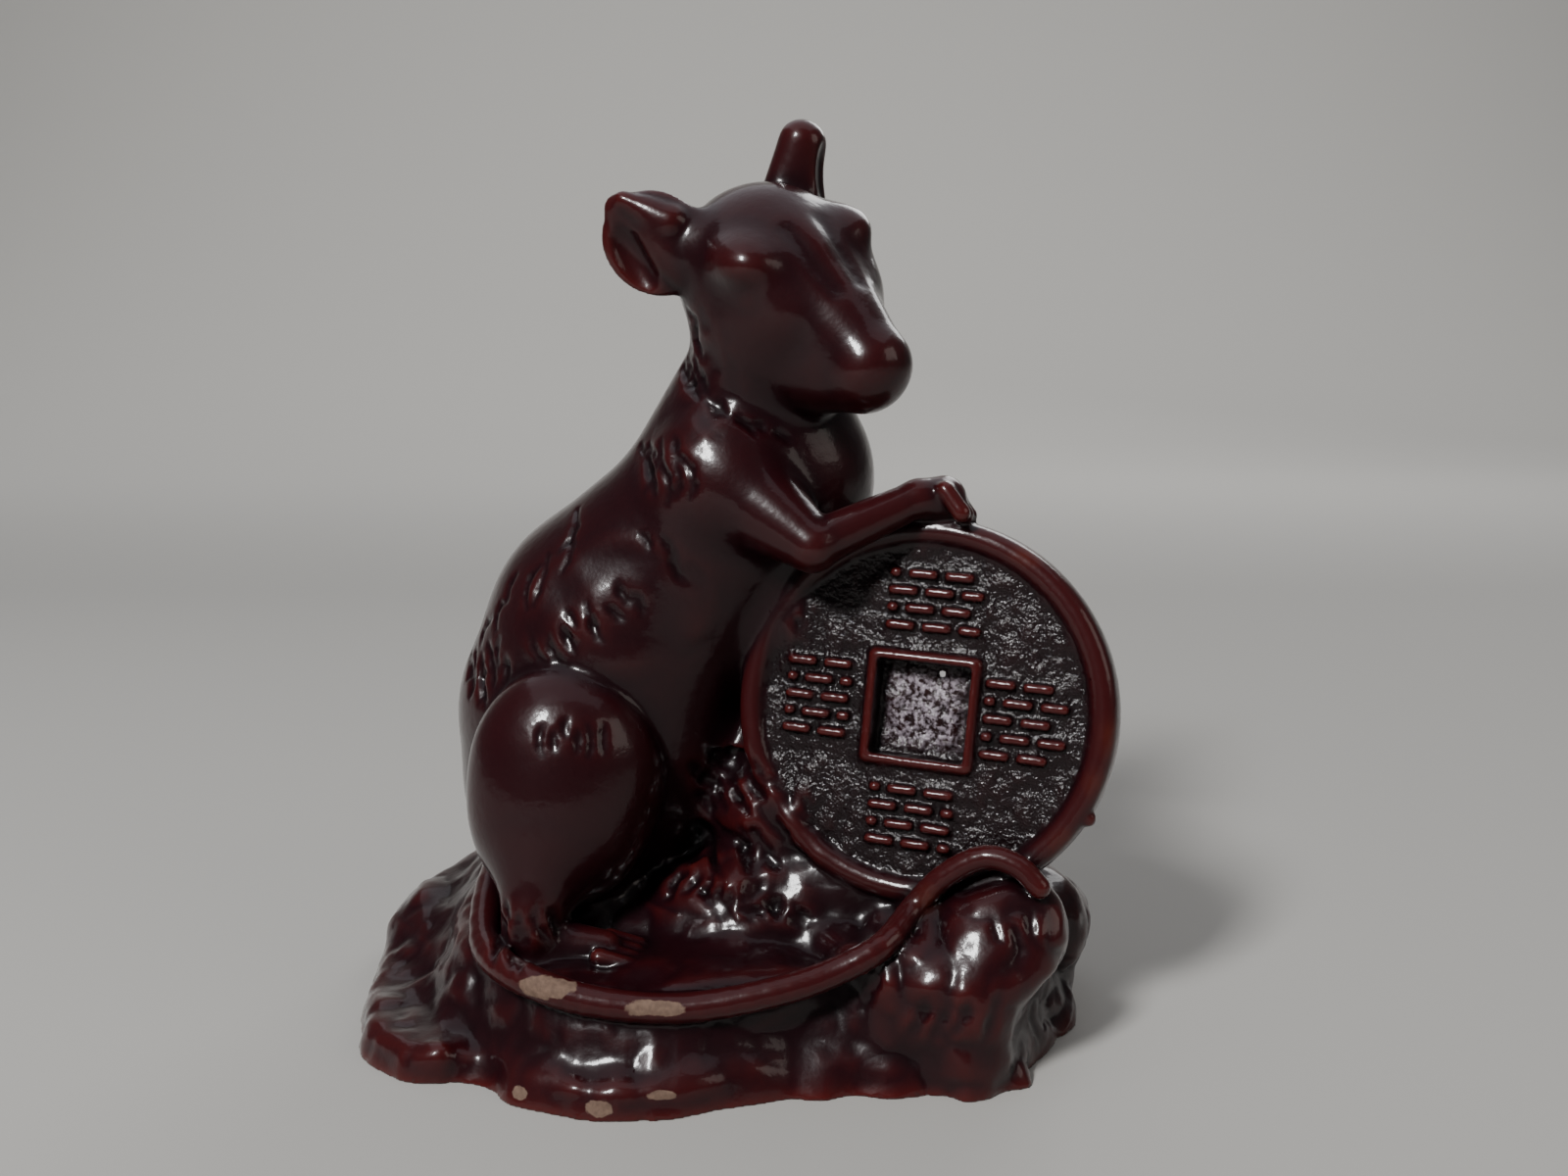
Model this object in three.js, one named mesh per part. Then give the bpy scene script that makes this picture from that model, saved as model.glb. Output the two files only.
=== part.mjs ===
// A rat figurine, cast in one piece in dark red resin: the rat sits on a rock and rests its front
// paws on a large round coin with a square hole, and its tail runs round the front of the rock.
//
// Lengths are millimetres. +Z is up, +X points to the side where the coin stands, and -Y is the
// front, where the coin shows its face. The origin is at the middle of the flat foot.
//
// The figure is modelled as clay: simple lumps are blended into one field of distances, the field's
// surface is taken off as triangles, and short edges are then merged where the surface is plain.

import * as THREE from "three";
import { edgeTable, triTable } from "three/addons/objects/MarchingCubes.js";

// Driving sizes

const figureHeight = 82;
const coinDiameter = 33.4;
const coinThickness = 4.4;
const coinRimWidth = 2.3;
const coinRimHeight = 0.9;
const coinHoleSide = 8.3;
const coinHoleDepth = 1.8;
const coinHoleBorder = 0.9;
const coinHoleBorderHeight = 0.8;
const strokeWidth = 0.8;
const strokeHeight = 0.7;
const strokeLength = 2.6;
const strokeGap = 0.6;
const strokeRowPitch = 1.5;
const tailDiameter = 3;
const tailTipDiameter = 1.9;
const forearmDiameter = 3.8;
const pawDiameter = 4;
const earThickness = 2.4;
const eyeDiameter = 2.6;
const toeDiameter = 1.6;
const rockGrain = 0.45;
const rockRidge = 0.7;
const furWidth = 0.9;

// How finely the clay is sampled, and how many triangles the finished surface keeps

const cellSize = 0.6;
const keptTriangles = 9600;

// The pose is written for a figure 82 mm tall, and carried to the height set above.

const grown = figureHeight / 82;
const at = (x, y, z) => new THREE.Vector3(x, y, z).multiplyScalar(grown);
const long = (length) => length * grown;
const radians = THREE.MathUtils.degToRad;

// Lumps of clay. Each one has a box that holds it and a function that gives the distance to it.

const boxAround = (centre, reach) =>
  new THREE.Box3().setFromCenterAndSize(centre, new THREE.Vector3(2, 2, 2).multiplyScalar(reach));

// Turns a point of the part into a lump's own axes: heading about Z, then tip about Y, roll about X.
function ownAxes(centre, [heading, tip, roll]) {
  const turn = new THREE.Euler(radians(roll), radians(tip), radians(heading), "ZYX");
  const m = new THREE.Matrix4().makeRotationFromEuler(turn).transpose().elements;
  return (x, y, z, out) => {
    const dx = x - centre.x;
    const dy = y - centre.y;
    const dz = z - centre.z;
    out[0] = m[0] * dx + m[4] * dy + m[8] * dz;
    out[1] = m[1] * dx + m[5] * dy + m[9] * dz;
    out[2] = m[2] * dx + m[6] * dy + m[10] * dz;
  };
}

function egg(centre, radii, turn = [0, 0, 0]) {
  const [rx, ry, rz] = radii;
  const toOwn = ownAxes(centre, turn);
  const p = [0, 0, 0];
  const distance = (x, y, z) => {
    toOwn(x, y, z, p);
    const near = Math.hypot(p[0] / rx, p[1] / ry, p[2] / rz);
    const slope = Math.hypot(p[0] / (rx * rx), p[1] / (ry * ry), p[2] / (rz * rz));
    return slope > 0 ? (near * (near - 1)) / slope : -Math.min(rx, ry, rz);
  };
  return { box: boxAround(centre, Math.max(rx, ry, rz)), distance };
}

// A round rod from one ball to another, which may differ in size.
function limb(a, ra, b, rb) {
  const axis = b.clone().sub(a);
  const l2 = axis.lengthSq();
  const shrink = ra - rb;
  const a2 = l2 - shrink * shrink;
  const il2 = 1 / l2;
  const distance = (x, y, z) => {
    const px = x - a.x;
    const py = y - a.y;
    const pz = z - a.z;
    const along = px * axis.x + py * axis.y + pz * axis.z;
    const beyond = along - l2;
    const sx = px * l2 - axis.x * along;
    const sy = py * l2 - axis.y * along;
    const sz = pz * l2 - axis.z * along;
    const side2 = sx * sx + sy * sy + sz * sz;
    const along2 = along * along * l2;
    const beyond2 = beyond * beyond * l2;
    const k = Math.sign(shrink) * shrink * shrink * side2;
    if (Math.sign(beyond) * a2 * beyond2 > k) return Math.sqrt(side2 + beyond2) * il2 - rb;
    if (Math.sign(along) * a2 * along2 < k) return Math.sqrt(side2 + along2) * il2 - ra;
    return (Math.sqrt(side2 * a2 * il2) + along * shrink) * il2 - ra;
  };
  const box = new THREE.Box3().setFromPoints([a, b]).expandByScalar(Math.max(ra, rb));
  return { box, distance };
}

// A box with rounded edges; half holds half its sizes.
function bar(centre, half, rounding, turn) {
  const toOwn = ownAxes(centre, turn);
  const p = [0, 0, 0];
  const distance = (x, y, z) => {
    toOwn(x, y, z, p);
    const qx = Math.abs(p[0]) - half[0] + rounding;
    const qy = Math.abs(p[1]) - half[1] + rounding;
    const qz = Math.abs(p[2]) - half[2] + rounding;
    const outside = Math.hypot(Math.max(qx, 0), Math.max(qy, 0), Math.max(qz, 0));
    return outside + Math.min(Math.max(qx, qy, qz), 0) - rounding;
  };
  return { box: boxAround(centre, Math.hypot(...half)), distance };
}

// A disc whose axis is its own Y, with rounded edges.
function disc(centre, radius, halfThickness, rounding, turn) {
  const toOwn = ownAxes(centre, turn);
  const p = [0, 0, 0];
  const distance = (x, y, z) => {
    toOwn(x, y, z, p);
    const qr = Math.hypot(p[0], p[2]) - radius + rounding;
    const qy = Math.abs(p[1]) - halfThickness + rounding;
    return Math.hypot(Math.max(qr, 0), Math.max(qy, 0)) + Math.min(Math.max(qr, qy), 0) - rounding;
  };
  return { box: boxAround(centre, Math.hypot(radius, halfThickness)), distance };
}

// A round ring about its own Y.
function ring(centre, radius, thickness, turn) {
  const toOwn = ownAxes(centre, turn);
  const p = [0, 0, 0];
  const distance = (x, y, z) => {
    toOwn(x, y, z, p);
    return Math.hypot(Math.hypot(p[0], p[2]) - radius, p[1]) - thickness;
  };
  return { box: boxAround(centre, radius + thickness), distance };
}

// The clay: a grid of distances, negative inside.

const low = at(-40, -37, -4);
const high = at(38, 30, 88);

class Clay {
  constructor() {
    this.count = high.clone().sub(low).divideScalar(cellSize).ceil().addScalar(1);
    this.field = new Float32Array(this.count.x * this.count.y * this.count.z).fill(long(99));
  }

  // Calls change(old distance, x, y, z) for each grid point in the box, and stores what it returns.
  each(box, change) {
    const { x: nx, y: ny, z: nz } = this.count;
    const from = box.min.clone().sub(low).divideScalar(cellSize).floor();
    const to = box.max.clone().sub(low).divideScalar(cellSize).ceil();
    for (let k = Math.max(from.z, 0); k <= Math.min(to.z, nz - 1); k++)
      for (let j = Math.max(from.y, 0); j <= Math.min(to.y, ny - 1); j++)
        for (let i = Math.max(from.x, 0); i <= Math.min(to.x, nx - 1); i++) {
          const n = i + nx * (j + ny * k);
          const x = low.x + i * cellSize;
          const y = low.y + j * cellSize;
          const z = low.z + k * cellSize;
          this.field[n] = change(this.field[n], x, y, z);
        }
  }

  // Adds a lump. Where it meets the rest, the two flow together over the given softness.
  add(lump, softness) {
    const k = Math.max(softness, 0.01);
    this.each(lump.box.clone().expandByScalar(k + 2 * cellSize), (old, x, y, z) => {
      const d = lump.distance(x, y, z);
      const h = Math.max(k - Math.abs(old - d), 0);
      return Math.min(old, d) - (h * h) / (4 * k);
    });
  }

  // How far back the surface lies, seen from the front at a given x and z.
  front(x, z) {
    const { x: nx, y: ny } = this.count;
    const i = Math.round((x - low.x) / cellSize);
    const k = Math.round((z - low.z) / cellSize);
    for (let j = 1; j < ny; j++) {
      const [before, here] = [j - 1, j].map((row) => this.field[i + nx * (row + ny * k)]);
      if (here < 0) return low.y + (j - here / (here - before)) * cellSize;
    }
    return high.y;
  }

  // Takes a lump away, with a soft edge.
  cut(lump, softness) {
    const k = Math.max(softness, 0.01);
    this.each(lump.box.clone().expandByScalar(k + 2 * cellSize), (old, x, y, z) => {
      const d = -lump.distance(x, y, z);
      const h = Math.max(k - Math.abs(old - d), 0);
      return Math.max(old, d) + (h * h) / (4 * k);
    });
  }
}

// The rock

// Smooth noise between -1 and 1, the same at every run.
function noise(x, y, z) {
  const hash = (i, j, k) => {
    const s = Math.sin(i * 127.1 + j * 311.7 + k * 74.7) * 43758.5453;
    return 2 * (s - Math.floor(s)) - 1;
  };
  const ease = (t) => t * t * (3 - 2 * t);
  const mix = THREE.MathUtils.lerp;
  const [i, j, k] = [Math.floor(x), Math.floor(y), Math.floor(z)];
  const [u, v, w] = [ease(x - i), ease(y - j), ease(z - k)];
  const edge = (b, c) => mix(hash(i, j + b, k + c), hash(i + 1, j + b, k + c), u);
  return mix(mix(edge(0, 0), edge(1, 0), v), mix(edge(0, 1), edge(1, 1), v), w);
}

// A slab of rock: an outline in plan, a flat top, and a wall that leans in by a share of its height.
function slab({ outline, top, lean, rounding }) {
  const curve = new THREE.CatmullRomCurve3(outline.map(([x, y]) => at(x, y, 0)), true);
  const rim = curve.getPoints(outline.length * 4);
  const planDistance = (x, y) => {
    let least = Infinity;
    let inside = false;
    for (let n = 0; n < rim.length - 1; n++) {
      const [a, b] = [rim[n], rim[n + 1]];
      const [ex, ey] = [b.x - a.x, b.y - a.y];
      const share = ((x - a.x) * ex + (y - a.y) * ey) / (ex * ex + ey * ey);
      const t = Math.min(Math.max(share, 0), 1);
      least = Math.min(least, Math.hypot(x - a.x - t * ex, y - a.y - t * ey));
      if (a.y > y !== b.y > y && x < a.x + ((y - a.y) / ey) * ex) inside = !inside;
    }
    return inside ? -least : least;
  };
  const distance = (x, y, z) => {
    const side = planDistance(x, y) + lean * z + rounding;
    const above = z - top + rounding;
    const corner = Math.hypot(Math.max(side, 0), Math.max(above, 0));
    return corner + Math.min(Math.max(side, above), 0) - rounding;
  };
  const box = new THREE.Box3().setFromPoints(rim);
  box.min.z = low.z;
  box.max.z = top;
  return { box, distance };
}

const slabs = [
  {
    // The foot of the rock
    outline: [
      [-32.6, -17.2], [-29.6, -22.2], [-25.4, -24.7], [-20.4, -24.7], [-18, -26.2], [-14.3, -29.2],
      [-10.5, -30.6], [-4.2, -30], [1.1, -27.6], [6.8, -26], [15, -26.2], [22.8, -25.8],
      [25.6, -20.5], [30, -12], [30.8, 0], [26, 12], [17, 19.5], [3, 22.5], [-11, 21.5], [-23, 16.5],
      [-31, 8], [-34, -3],
    ],
    top: long(3),
    lean: 0.1,
    rounding: long(1.2),
  },
  {
    // The slope up to the floor that the tail lies round
    outline: [
      [-29.5, -5], [-28, -17], [-21.5, -23.8], [-16.5, -28], [-6, -29.8], [2, -28], [9, -26.8],
      [17, -25.8], [21, -10], [17, 12], [-4, 19], [-25, 14],
    ],
    top: long(9),
    lean: 0.5,
    rounding: long(1),
  },
  {
    // The block under the coin
    outline: [
      [8, -22], [13, -25], [18, -26], [22.6, -25.6], [25.8, -20], [29.6, -12], [30.4, 0], [25, 10],
      [12, 12], [3, 6], [4, -10],
    ],
    top: long(11.6),
    lean: 0.02,
    rounding: long(2.6),
  },
];

const stones = [
  { centre: at(-27, 3, 1), radii: [7.6, 12, 7.6] },
  { centre: at(-9, 3, 7), radii: [19, 17, 8] },
  { centre: at(8, -6, 15), radii: [10.5, 8.5, 14.5] },
  { centre: at(13, -11, 12), radii: [9, 7, 7] },
  { centre: at(2, -12, 9), radii: [9, 6, 6] },
  { centre: at(20.5, -18, 9), radii: [8.5, 6.6, 6.4] },
  { centre: at(24, -21, 12), radii: [4.4, 4, 4.6] },
  { centre: at(28, -6, 8), radii: [4.4, 8, 4.6] },
];

// Clefts that part the foot of the rock into lobes
const clefts = [
  [at(-37, -9.5, 4), at(-27, -12.5, 7)],
  [at(-20.6, -28, 0), at(-22.4, -19, 7)],
  [at(5.4, -30, 0), at(6.4, -25.2, 6.6)],
  [at(30, -22, 0), at(25.6, -22.5, 8)],
  [at(34, 6, 2), at(27, 4, 13)],
  [at(0, 26, 1), at(2, 18, 9)],
  [at(-28, 16, 1), at(-22, 11, 8)],
];

function addRock(clay) {
  for (const shape of slabs) clay.add(slab(shape), long(1.5));
  for (const { centre, radii } of stones) clay.add(egg(centre, radii.map(long)), long(3));
  for (const [foot, head] of clefts) clay.cut(limb(foot, long(1.6), head, long(0.8)), long(2.4));
  const roughness = new THREE.Box3(low, at(40, 40, 24));
  for (const [wave, share] of [[long(9), 1.6], [long(4), 1]])
    clay.each(
      roughness,
      (old, x, y, z) => old + share * rockGrain * noise(x / wave, y / wave, z / wave),
    );
  // Noise folded at zero leaves blunt ridges, which are highest on the block under the coin.
  const fold = long(6.5);
  clay.each(roughness, (old, x, y, z) => {
    const share = 1 + THREE.MathUtils.smoothstep(x, long(8), long(18));
    return old + share * rockRidge * (0.4 - Math.abs(noise(x / fold, y / fold, z / fold)));
  });
}

// The rat

function addBody(clay) {
  const rump = at(-12.6, 1, 25.6);
  const waist = at(-10.6, 0, 33);
  const chest = at(-2.4, -3, 44);
  const neck = at(2.2, -4, 56);
  clay.add(limb(rump, long(14.4), waist, long(13.2)), long(3));
  clay.add(limb(waist, long(13.2), chest, long(9.8)), long(1));
  clay.add(limb(chest, long(9.8), neck, long(7.6)), long(1));
  clay.add(egg(at(4.2, -3, 48.5), [8.4, 8.4, 9.6].map(long)), long(2));
  clay.add(egg(at(-14, 1, 18), [12.4, 13.5, 9].map(long)), long(3));
  clay.add(egg(at(7, -5, 34), [7, 6, 9].map(long)), long(3));
}

// The head's own axes: X to the rat's left, the far side, -Y along the snout, Z to the crown.
const headCentre = at(3, -6, 66.2);
const headTurn = [36, -17, 18];

function inHead(x, y, z) {
  const [heading, tip, roll] = headTurn.map(radians);
  const turn = new THREE.Euler(roll, tip, heading, "ZYX");
  return at(x, y, z).applyEuler(turn).add(headCentre);
}

function addHead(clay) {
  clay.add(egg(inHead(0, 0.4, 0.6), [7.9, 8, 7.6].map(long), headTurn), long(2));
  clay.add(limb(inHead(0, -4, 0.2), long(5.9), inHead(-0.2, -13.3, -3.3), long(3.1)), long(2));
  clay.add(limb(inHead(0, -3, -4.6), long(5.2), inHead(-0.6, -12.4, -4.8), long(3)), long(1.5));
  clay.add(limb(inHead(0, -4, -2.2), long(5.6), inHead(-0.1, -13, -4.5), long(3)), long(1.5));
  for (const side of [-1, 1]) {
    const eye = new Array(3).fill(eyeDiameter / 2);
    clay.add(egg(inHead(side * 4, -2.4, -3.6), [4.2, 6, 5.4].map(long), headTurn), long(2));
    clay.add(egg(inHead(side * 2.3, -7.6, -5), [2.9, 4.6, 3.6].map(long), headTurn), long(2.2));
    clay.add(egg(inHead(side * 5.3, -3.6, 4.1), [2.4, 3, 2].map(long), headTurn), long(1.8));
    clay.add(egg(inHead(side * 4.2, -5.2, 0), [2.4, 3.6, 3.2].map(long), headTurn), long(2.2));
    clay.add(egg(inHead(side * 5.5, -5.2, 1.5), eye, headTurn), long(0.6));
  }
  clay.add(egg(inHead(-0.4, -14.3, -3.6), [2.7, 1.8, 2.2].map(long), headTurn), long(2));
}

// The near ear is a leaf, hollow on its outer side, with its upper edge rolled over.
function addNearEar(clay) {
  const middle = at(-7, -8.6, 69.3);
  const beside = (x, y, z) => at(x, y, z).add(middle);
  clay.add(egg(at(-3.2, -8.4, 68.6), [3, 2.4, 3].map(long)), long(1.5));
  clay.add(egg(beside(0.3, 0, -0.2), [long(4.9), earThickness / 2, long(4.3)], [-6, 32, 0]), long(1));
  clay.add(egg(at(-9.9, -8.4, 72.2), [1.1, 0.8, 1].map(long)), long(1));
  clay.cut(egg(beside(-1.7, -1.8, -1.8), [4.4, 2.2, 1.9].map(long), [-6, 60, 0]), long(0.3));
  clay.add(egg(beside(1.3, -0.7, -0.3), [4.2, 1.4, 1.9].map(long), [-6, 60, 0]), long(0.4));
  clay.add(limb(beside(-2.4, -0.5, 3.4), long(0.7), beside(1.6, -0.6, 1.4), long(1.7)), long(0.5));
}

// The far ear is a fin on a broad root, with its hollow turned away.
function addFarEar(clay) {
  const middle = at(6.3, -1.7, 75);
  const beside = (x, y, z) => at(x, y, z).add(middle);
  clay.add(limb(beside(-2.8, 0, -2.6), long(1.8), beside(-0.6, 0, 3.4), long(1.9)), long(1));
  clay.add(limb(beside(0.1, 0, -2.8), long(1.7), beside(0, 0, 3), long(1.6)), long(1.4));
  clay.cut(egg(beside(1.8, -1, 0.6), [0.9, 1.3, 2.8].map(long)), long(0.4));
}

function addFrontLegs(clay, coin) {
  const arm = forearmDiameter / 2;
  const pawRadius = pawDiameter / 2;
  const elbow = at(6.7, -15.2, 43.8);
  const paw = coin.onEdge(89.5, pawRadius - 0.4, 0.8);
  const wrist = elbow.clone().lerp(paw, 0.8).add(at(0, 0, 0.8));
  clay.add(egg(at(-1.4, -8.6, 48.8), [6.2, 5.6, 7].map(long), [0, 30, 0]), long(1.5));
  clay.add(limb(at(0.4, -10, 48), long(4.6), elbow, arm + 0.4), long(1.6));
  clay.add(limb(elbow, arm + 0.2, wrist, arm - 0.3), long(0.5));
  clay.add(limb(wrist, arm - 0.3, paw, pawRadius), long(0.6));
  for (const back of [-1.1, 0.3, 1.7]) {
    const [knuckle, tip] = [coin.onEdge(88, 2.2, back), coin.onEdge(82.5, 0.5, back)];
    clay.add(limb(knuckle, toeDiameter / 2, tip, toeDiameter / 2), long(0.4));
  }
  // The far leg rests behind the coin.
  const farElbow = at(12.4, 1, 41.5);
  const farPaw = coin.onEdge(72, -pawRadius - 0.6, coinThickness + pawRadius - 0.8);
  clay.add(limb(at(6, 2.5, 48), long(5), farElbow, arm + 0.5), long(1.5));
  clay.add(limb(farElbow, arm + 0.2, farPaw, pawRadius), long(0.8));
}

function addHindLegs(clay) {
  const haunch = [8.6, 6.6, 9.7].map(long);
  clay.add(egg(at(-15, -12, 23), haunch), long(0.8));
  clay.add(egg(at(-15.8, -12.4, 18.4), [7.2, 6.3, 7.4].map(long)), long(3));
  clay.add(limb(at(-16.5, -15, 17), long(4), at(-17.4, -18.2, 11.2), long(2.6)), long(2));
  // The far haunch is plainer.
  clay.add(egg(at(-10, 12, 23), haunch), long(1.5));
  const feet = [
    { heel: at(-16.6, -17.4, 9.6), toes: at(-11.2, -17.9, 9.2) },
    { heel: at(-4, -8.5, 10.6), toes: at(-0.8, -12.4, 10.2) },
    { heel: at(-11, 14, 10.5), toes: at(-3, 15.5, 10) },
  ];
  for (const { heel, toes } of feet) {
    clay.add(limb(heel, long(2.1), toes, long(1.5)), long(1));
    const ahead = toes.clone().sub(heel).setZ(0).normalize();
    const aside = new THREE.Vector3(-ahead.y, ahead.x, 0);
    for (const place of [-1.5, -0.5, 0.5, 1.5]) {
      const root = toes.clone().addScaledVector(aside, place * toeDiameter * 0.9);
      const tip = root.clone().addScaledVector(ahead, long(2.6)).add(at(0, 0, -0.7));
      clay.add(limb(root, toeDiameter / 2, tip, toeDiameter / 2), long(0.25));
    }
  }
}

// Patches of fur: rows of short grooves, laid on the surface at places of the front view, x and z.

const furRows = [
  { from: [-7.4, 51.4], to: [-3.4, 52.6], stroke: [0.7, -3.8], count: 4 },
  { from: [-7.6, 43.2], to: [-3, 44.2], stroke: [0.9, -2.4], count: 4 },
  { from: [-17.5, 34.6], to: [-9, 40.6], stroke: [1.3, -2.2], count: 6 },
  { from: [-24.6, 30.6], to: [-17.2, 33.2], stroke: [0.2, -3], count: 6 },
  { from: [0.4, 16.4], to: [4.6, 24.4], stroke: [1.8, -1.6], count: 5 },
  { from: [-4.4, 13.6], to: [4.8, 13.8], stroke: [-1.3, -1.6], count: 7 },
];

function combFur(clay) {
  const onSurface = ([x, z]) => {
    const [u, w] = [long(x), long(z)];
    return new THREE.Vector3(u, clay.front(u, w), w);
  };
  for (const { from, to, stroke, count } of furRows)
    for (let n = 0; n < count; n++) {
      const share = n / (count - 1);
      const root = from.map((value, i) => THREE.MathUtils.lerp(value, to[i], share));
      const tip = root.map((value, i) => value + stroke[i]);
      const radius = furWidth / 2;
      clay.cut(limb(onSurface(root), radius, onSurface(tip), radius * 0.6), long(0.5));
    }
}

// The coin's own axes: X across its face, Y back from the crest of its front rim, Z up.

const coinTurn = [-19.5, 2.3, -10.8];

function makeCoin() {
  const turn = new THREE.Euler(
    radians(coinTurn[2]), radians(coinTurn[1]), radians(coinTurn[0]), "ZYX",
  );
  const radius = coinDiameter / 2;
  const foot = at(14.1, -18.7, 13.3);
  const centre = new THREE.Vector3(0, 0, radius).applyEuler(turn).add(foot);
  const place = (x, y, z) => new THREE.Vector3(x, y, z).applyEuler(turn).add(centre);
  const onEdge = (degrees, lift, back) => {
    const reach = radius + lift;
    return place(reach * Math.cos(radians(degrees)), back, reach * Math.sin(radians(degrees)));
  };
  return { place, onEdge, radius };
}

// Rows of short raised strokes, one block on each side of the hole.
const strokeBlocks = [
  { middle: [0.4, 9.4], size: [8.4, 6.2] },
  { middle: [-9.2, 0.2], size: [6, 7.4] },
  { middle: [9, 0], size: [7.2, 7.4] },
  { middle: [0, -9.2], size: [7.6, 5.8] },
];

function addStrokes(clay, coin) {
  const pitch = strokeLength + strokeGap;
  for (const { middle: [x, z], size: [width, height] } of strokeBlocks) {
    const rows = Math.round(height / strokeRowPitch);
    for (let row = 0; row < rows; row++) {
      const up = z + (row - (rows - 1) / 2) * strokeRowPitch;
      // Every second row starts half a stroke earlier, as bricks do.
      for (let start = (-width - (row % 2) * pitch) / 2; start < width / 2; start += pitch) {
        const left = Math.max(start, -width / 2);
        const right = Math.min(start + strokeLength, width / 2);
        if (right - left < strokeWidth) continue;
        const centre = coin.place(x + (left + right) / 2, coinRimHeight, up);
        const half = [(right - left) / 2, strokeHeight, strokeWidth / 2];
        clay.add(bar(centre, half, strokeWidth * 0.4, coinTurn), 0.2);
      }
    }
  }
}

function addCoin(clay, coin) {
  const { radius, place } = coin;
  const half = coinThickness / 2;
  clay.add(disc(place(0, half, 0), radius, half - coinRimHeight, 1, coinTurn), 0.4);
  const crest = radius - coinRimWidth * 0.55;
  const rimRadius = coinRimWidth / 2;
  for (const depth of [rimRadius, coinThickness - rimRadius])
    clay.add(ring(place(0, depth, 0), crest, rimRadius, coinTurn), 0.5);
  const face = place(0, coinRimHeight, 0);
  const border = coinHoleSide / 2 + coinHoleBorder;
  clay.add(bar(face, [border, coinHoleBorderHeight, border], 0.7, coinTurn), 0.3);
  addStrokes(clay, coin);
  const hole = [coinHoleSide / 2, coinHoleDepth, coinHoleSide / 2];
  clay.cut(bar(face, hole, 0.3, coinTurn), 0.3);
}

// The tail comes round the front of the rock, over the coin's lower edge, and down into the rock.

function addTail(clay, coin) {
  const onCoin = (x, z) => coin.place(x, -tailTipDiameter / 2, z - coinDiameter / 2);
  const path = new THREE.CatmullRomCurve3([
    at(-20, 2, 14), at(-22.2, -8, 12.6), at(-21.4, -18, 9.9), at(-19.2, -22, 9.3),
    at(-16.1, -24.5, 8.9), at(-11.6, -25.6, 7.9), at(-4.4, -26, 7.4), at(3.4, -25.6, 8.6),
    at(8.3, -24.7, 9.9), at(12.3, -23.8, 11.8), onCoin(1.6, 0.3), onCoin(3.8, 3.2),
    onCoin(7.2, 5.4), onCoin(10, 5), onCoin(11.8, 3.6),
  ]);
  const steps = 56;
  const points = path.getPoints(steps);
  const radiusAt = (n) => THREE.MathUtils.lerp(tailDiameter, tailTipDiameter, n / steps) / 2;
  for (let n = 0; n < steps; n++)
    clay.add(limb(points[n], radiusAt(n), points[n + 1], radiusAt(n + 1)), long(0.4));
}

// The surface of the clay as triangles, one vertex for each grid edge that it crosses.

function skin(clay) {
  const { x: nx, y: ny, z: nz } = clay.count;
  const { field } = clay;
  const [sy, sz] = [nx, nx * ny];
  // Each cube edge: the corner where it starts, and its direction 0, 1 or 2 for X, Y or Z.
  const corners = [0, 1, 1 + sy, sy, sz, 1 + sz, 1 + sy + sz, sy + sz];
  const edges = [
    [0, 0], [1, 1], [sy, 0], [0, 1],
    [sz, 0], [1 + sz, 1], [sy + sz, 0], [sz, 1],
    [0, 2], [1, 2], [1 + sy, 2], [sy, 2],
  ];
  const stride = [1, sy, sz];
  const made = new Map();
  const positions = [];
  const triangles = [];
  const nearest = 0.02;

  const vertex = (start, axis) => {
    const key = start * 3 + axis;
    if (made.has(key)) return made.get(key);
    const [a, b] = [field[start], field[start + stride[axis]]];
    const share = THREE.MathUtils.clamp(a / (a - b), nearest, 1 - nearest);
    const spot = [start % nx, Math.floor(start / nx) % ny, Math.floor(start / sz)];
    spot[axis] += share;
    const id = positions.length / 3;
    positions.push(
      low.x + spot[0] * cellSize,
      low.y + spot[1] * cellSize,
      low.z + spot[2] * cellSize,
    );
    made.set(key, id);
    return id;
  };

  for (let k = 0; k < nz - 1; k++)
    for (let j = 0; j < ny - 1; j++)
      for (let i = 0; i < nx - 1; i++) {
        const first = i + sy * j + sz * k;
        let shape = 0;
        for (let c = 0; c < 8; c++) if (field[first + corners[c]] >= 0) shape |= 1 << c;
        if (edgeTable[shape] === 0) continue;
        for (let t = shape * 16; triTable[t] !== -1; t++) {
          const [start, axis] = edges[triTable[t]];
          triangles.push(vertex(first + start, axis));
        }
      }
  return { positions, triangles };
}

// Merges edges, the one that changes the surface least first, until few enough triangles are left.

class Queue {
  constructor() {
    this.items = [];
  }

  push(item) {
    const { items } = this;
    let n = items.push(item) - 1;
    while (n > 0) {
      const up = (n - 1) >> 1;
      if (items[up].cost <= item.cost) break;
      items[n] = items[up];
      n = up;
    }
    items[n] = item;
  }

  pop() {
    const { items } = this;
    const top = items[0];
    const last = items.pop();
    if (items.length === 0) return top;
    let n = 0;
    for (;;) {
      let down = 2 * n + 1;
      if (down >= items.length) break;
      if (down + 1 < items.length && items[down + 1].cost < items[down].cost) down++;
      if (items[down].cost >= last.cost) break;
      items[n] = items[down];
      n = down;
    }
    items[n] = last;
    return top;
  }
}

// The sum of squared distances to planes, as the ten numbers of a symmetric 4 by 4 matrix.
function errorAt(q, [x, y, z]) {
  return (
    q[0] * x * x + 2 * q[1] * x * y + 2 * q[2] * x * z + 2 * q[3] * x +
    q[4] * y * y + 2 * q[5] * y * z + 2 * q[6] * y +
    q[7] * z * z + 2 * q[8] * z + q[9]
  );
}

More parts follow.
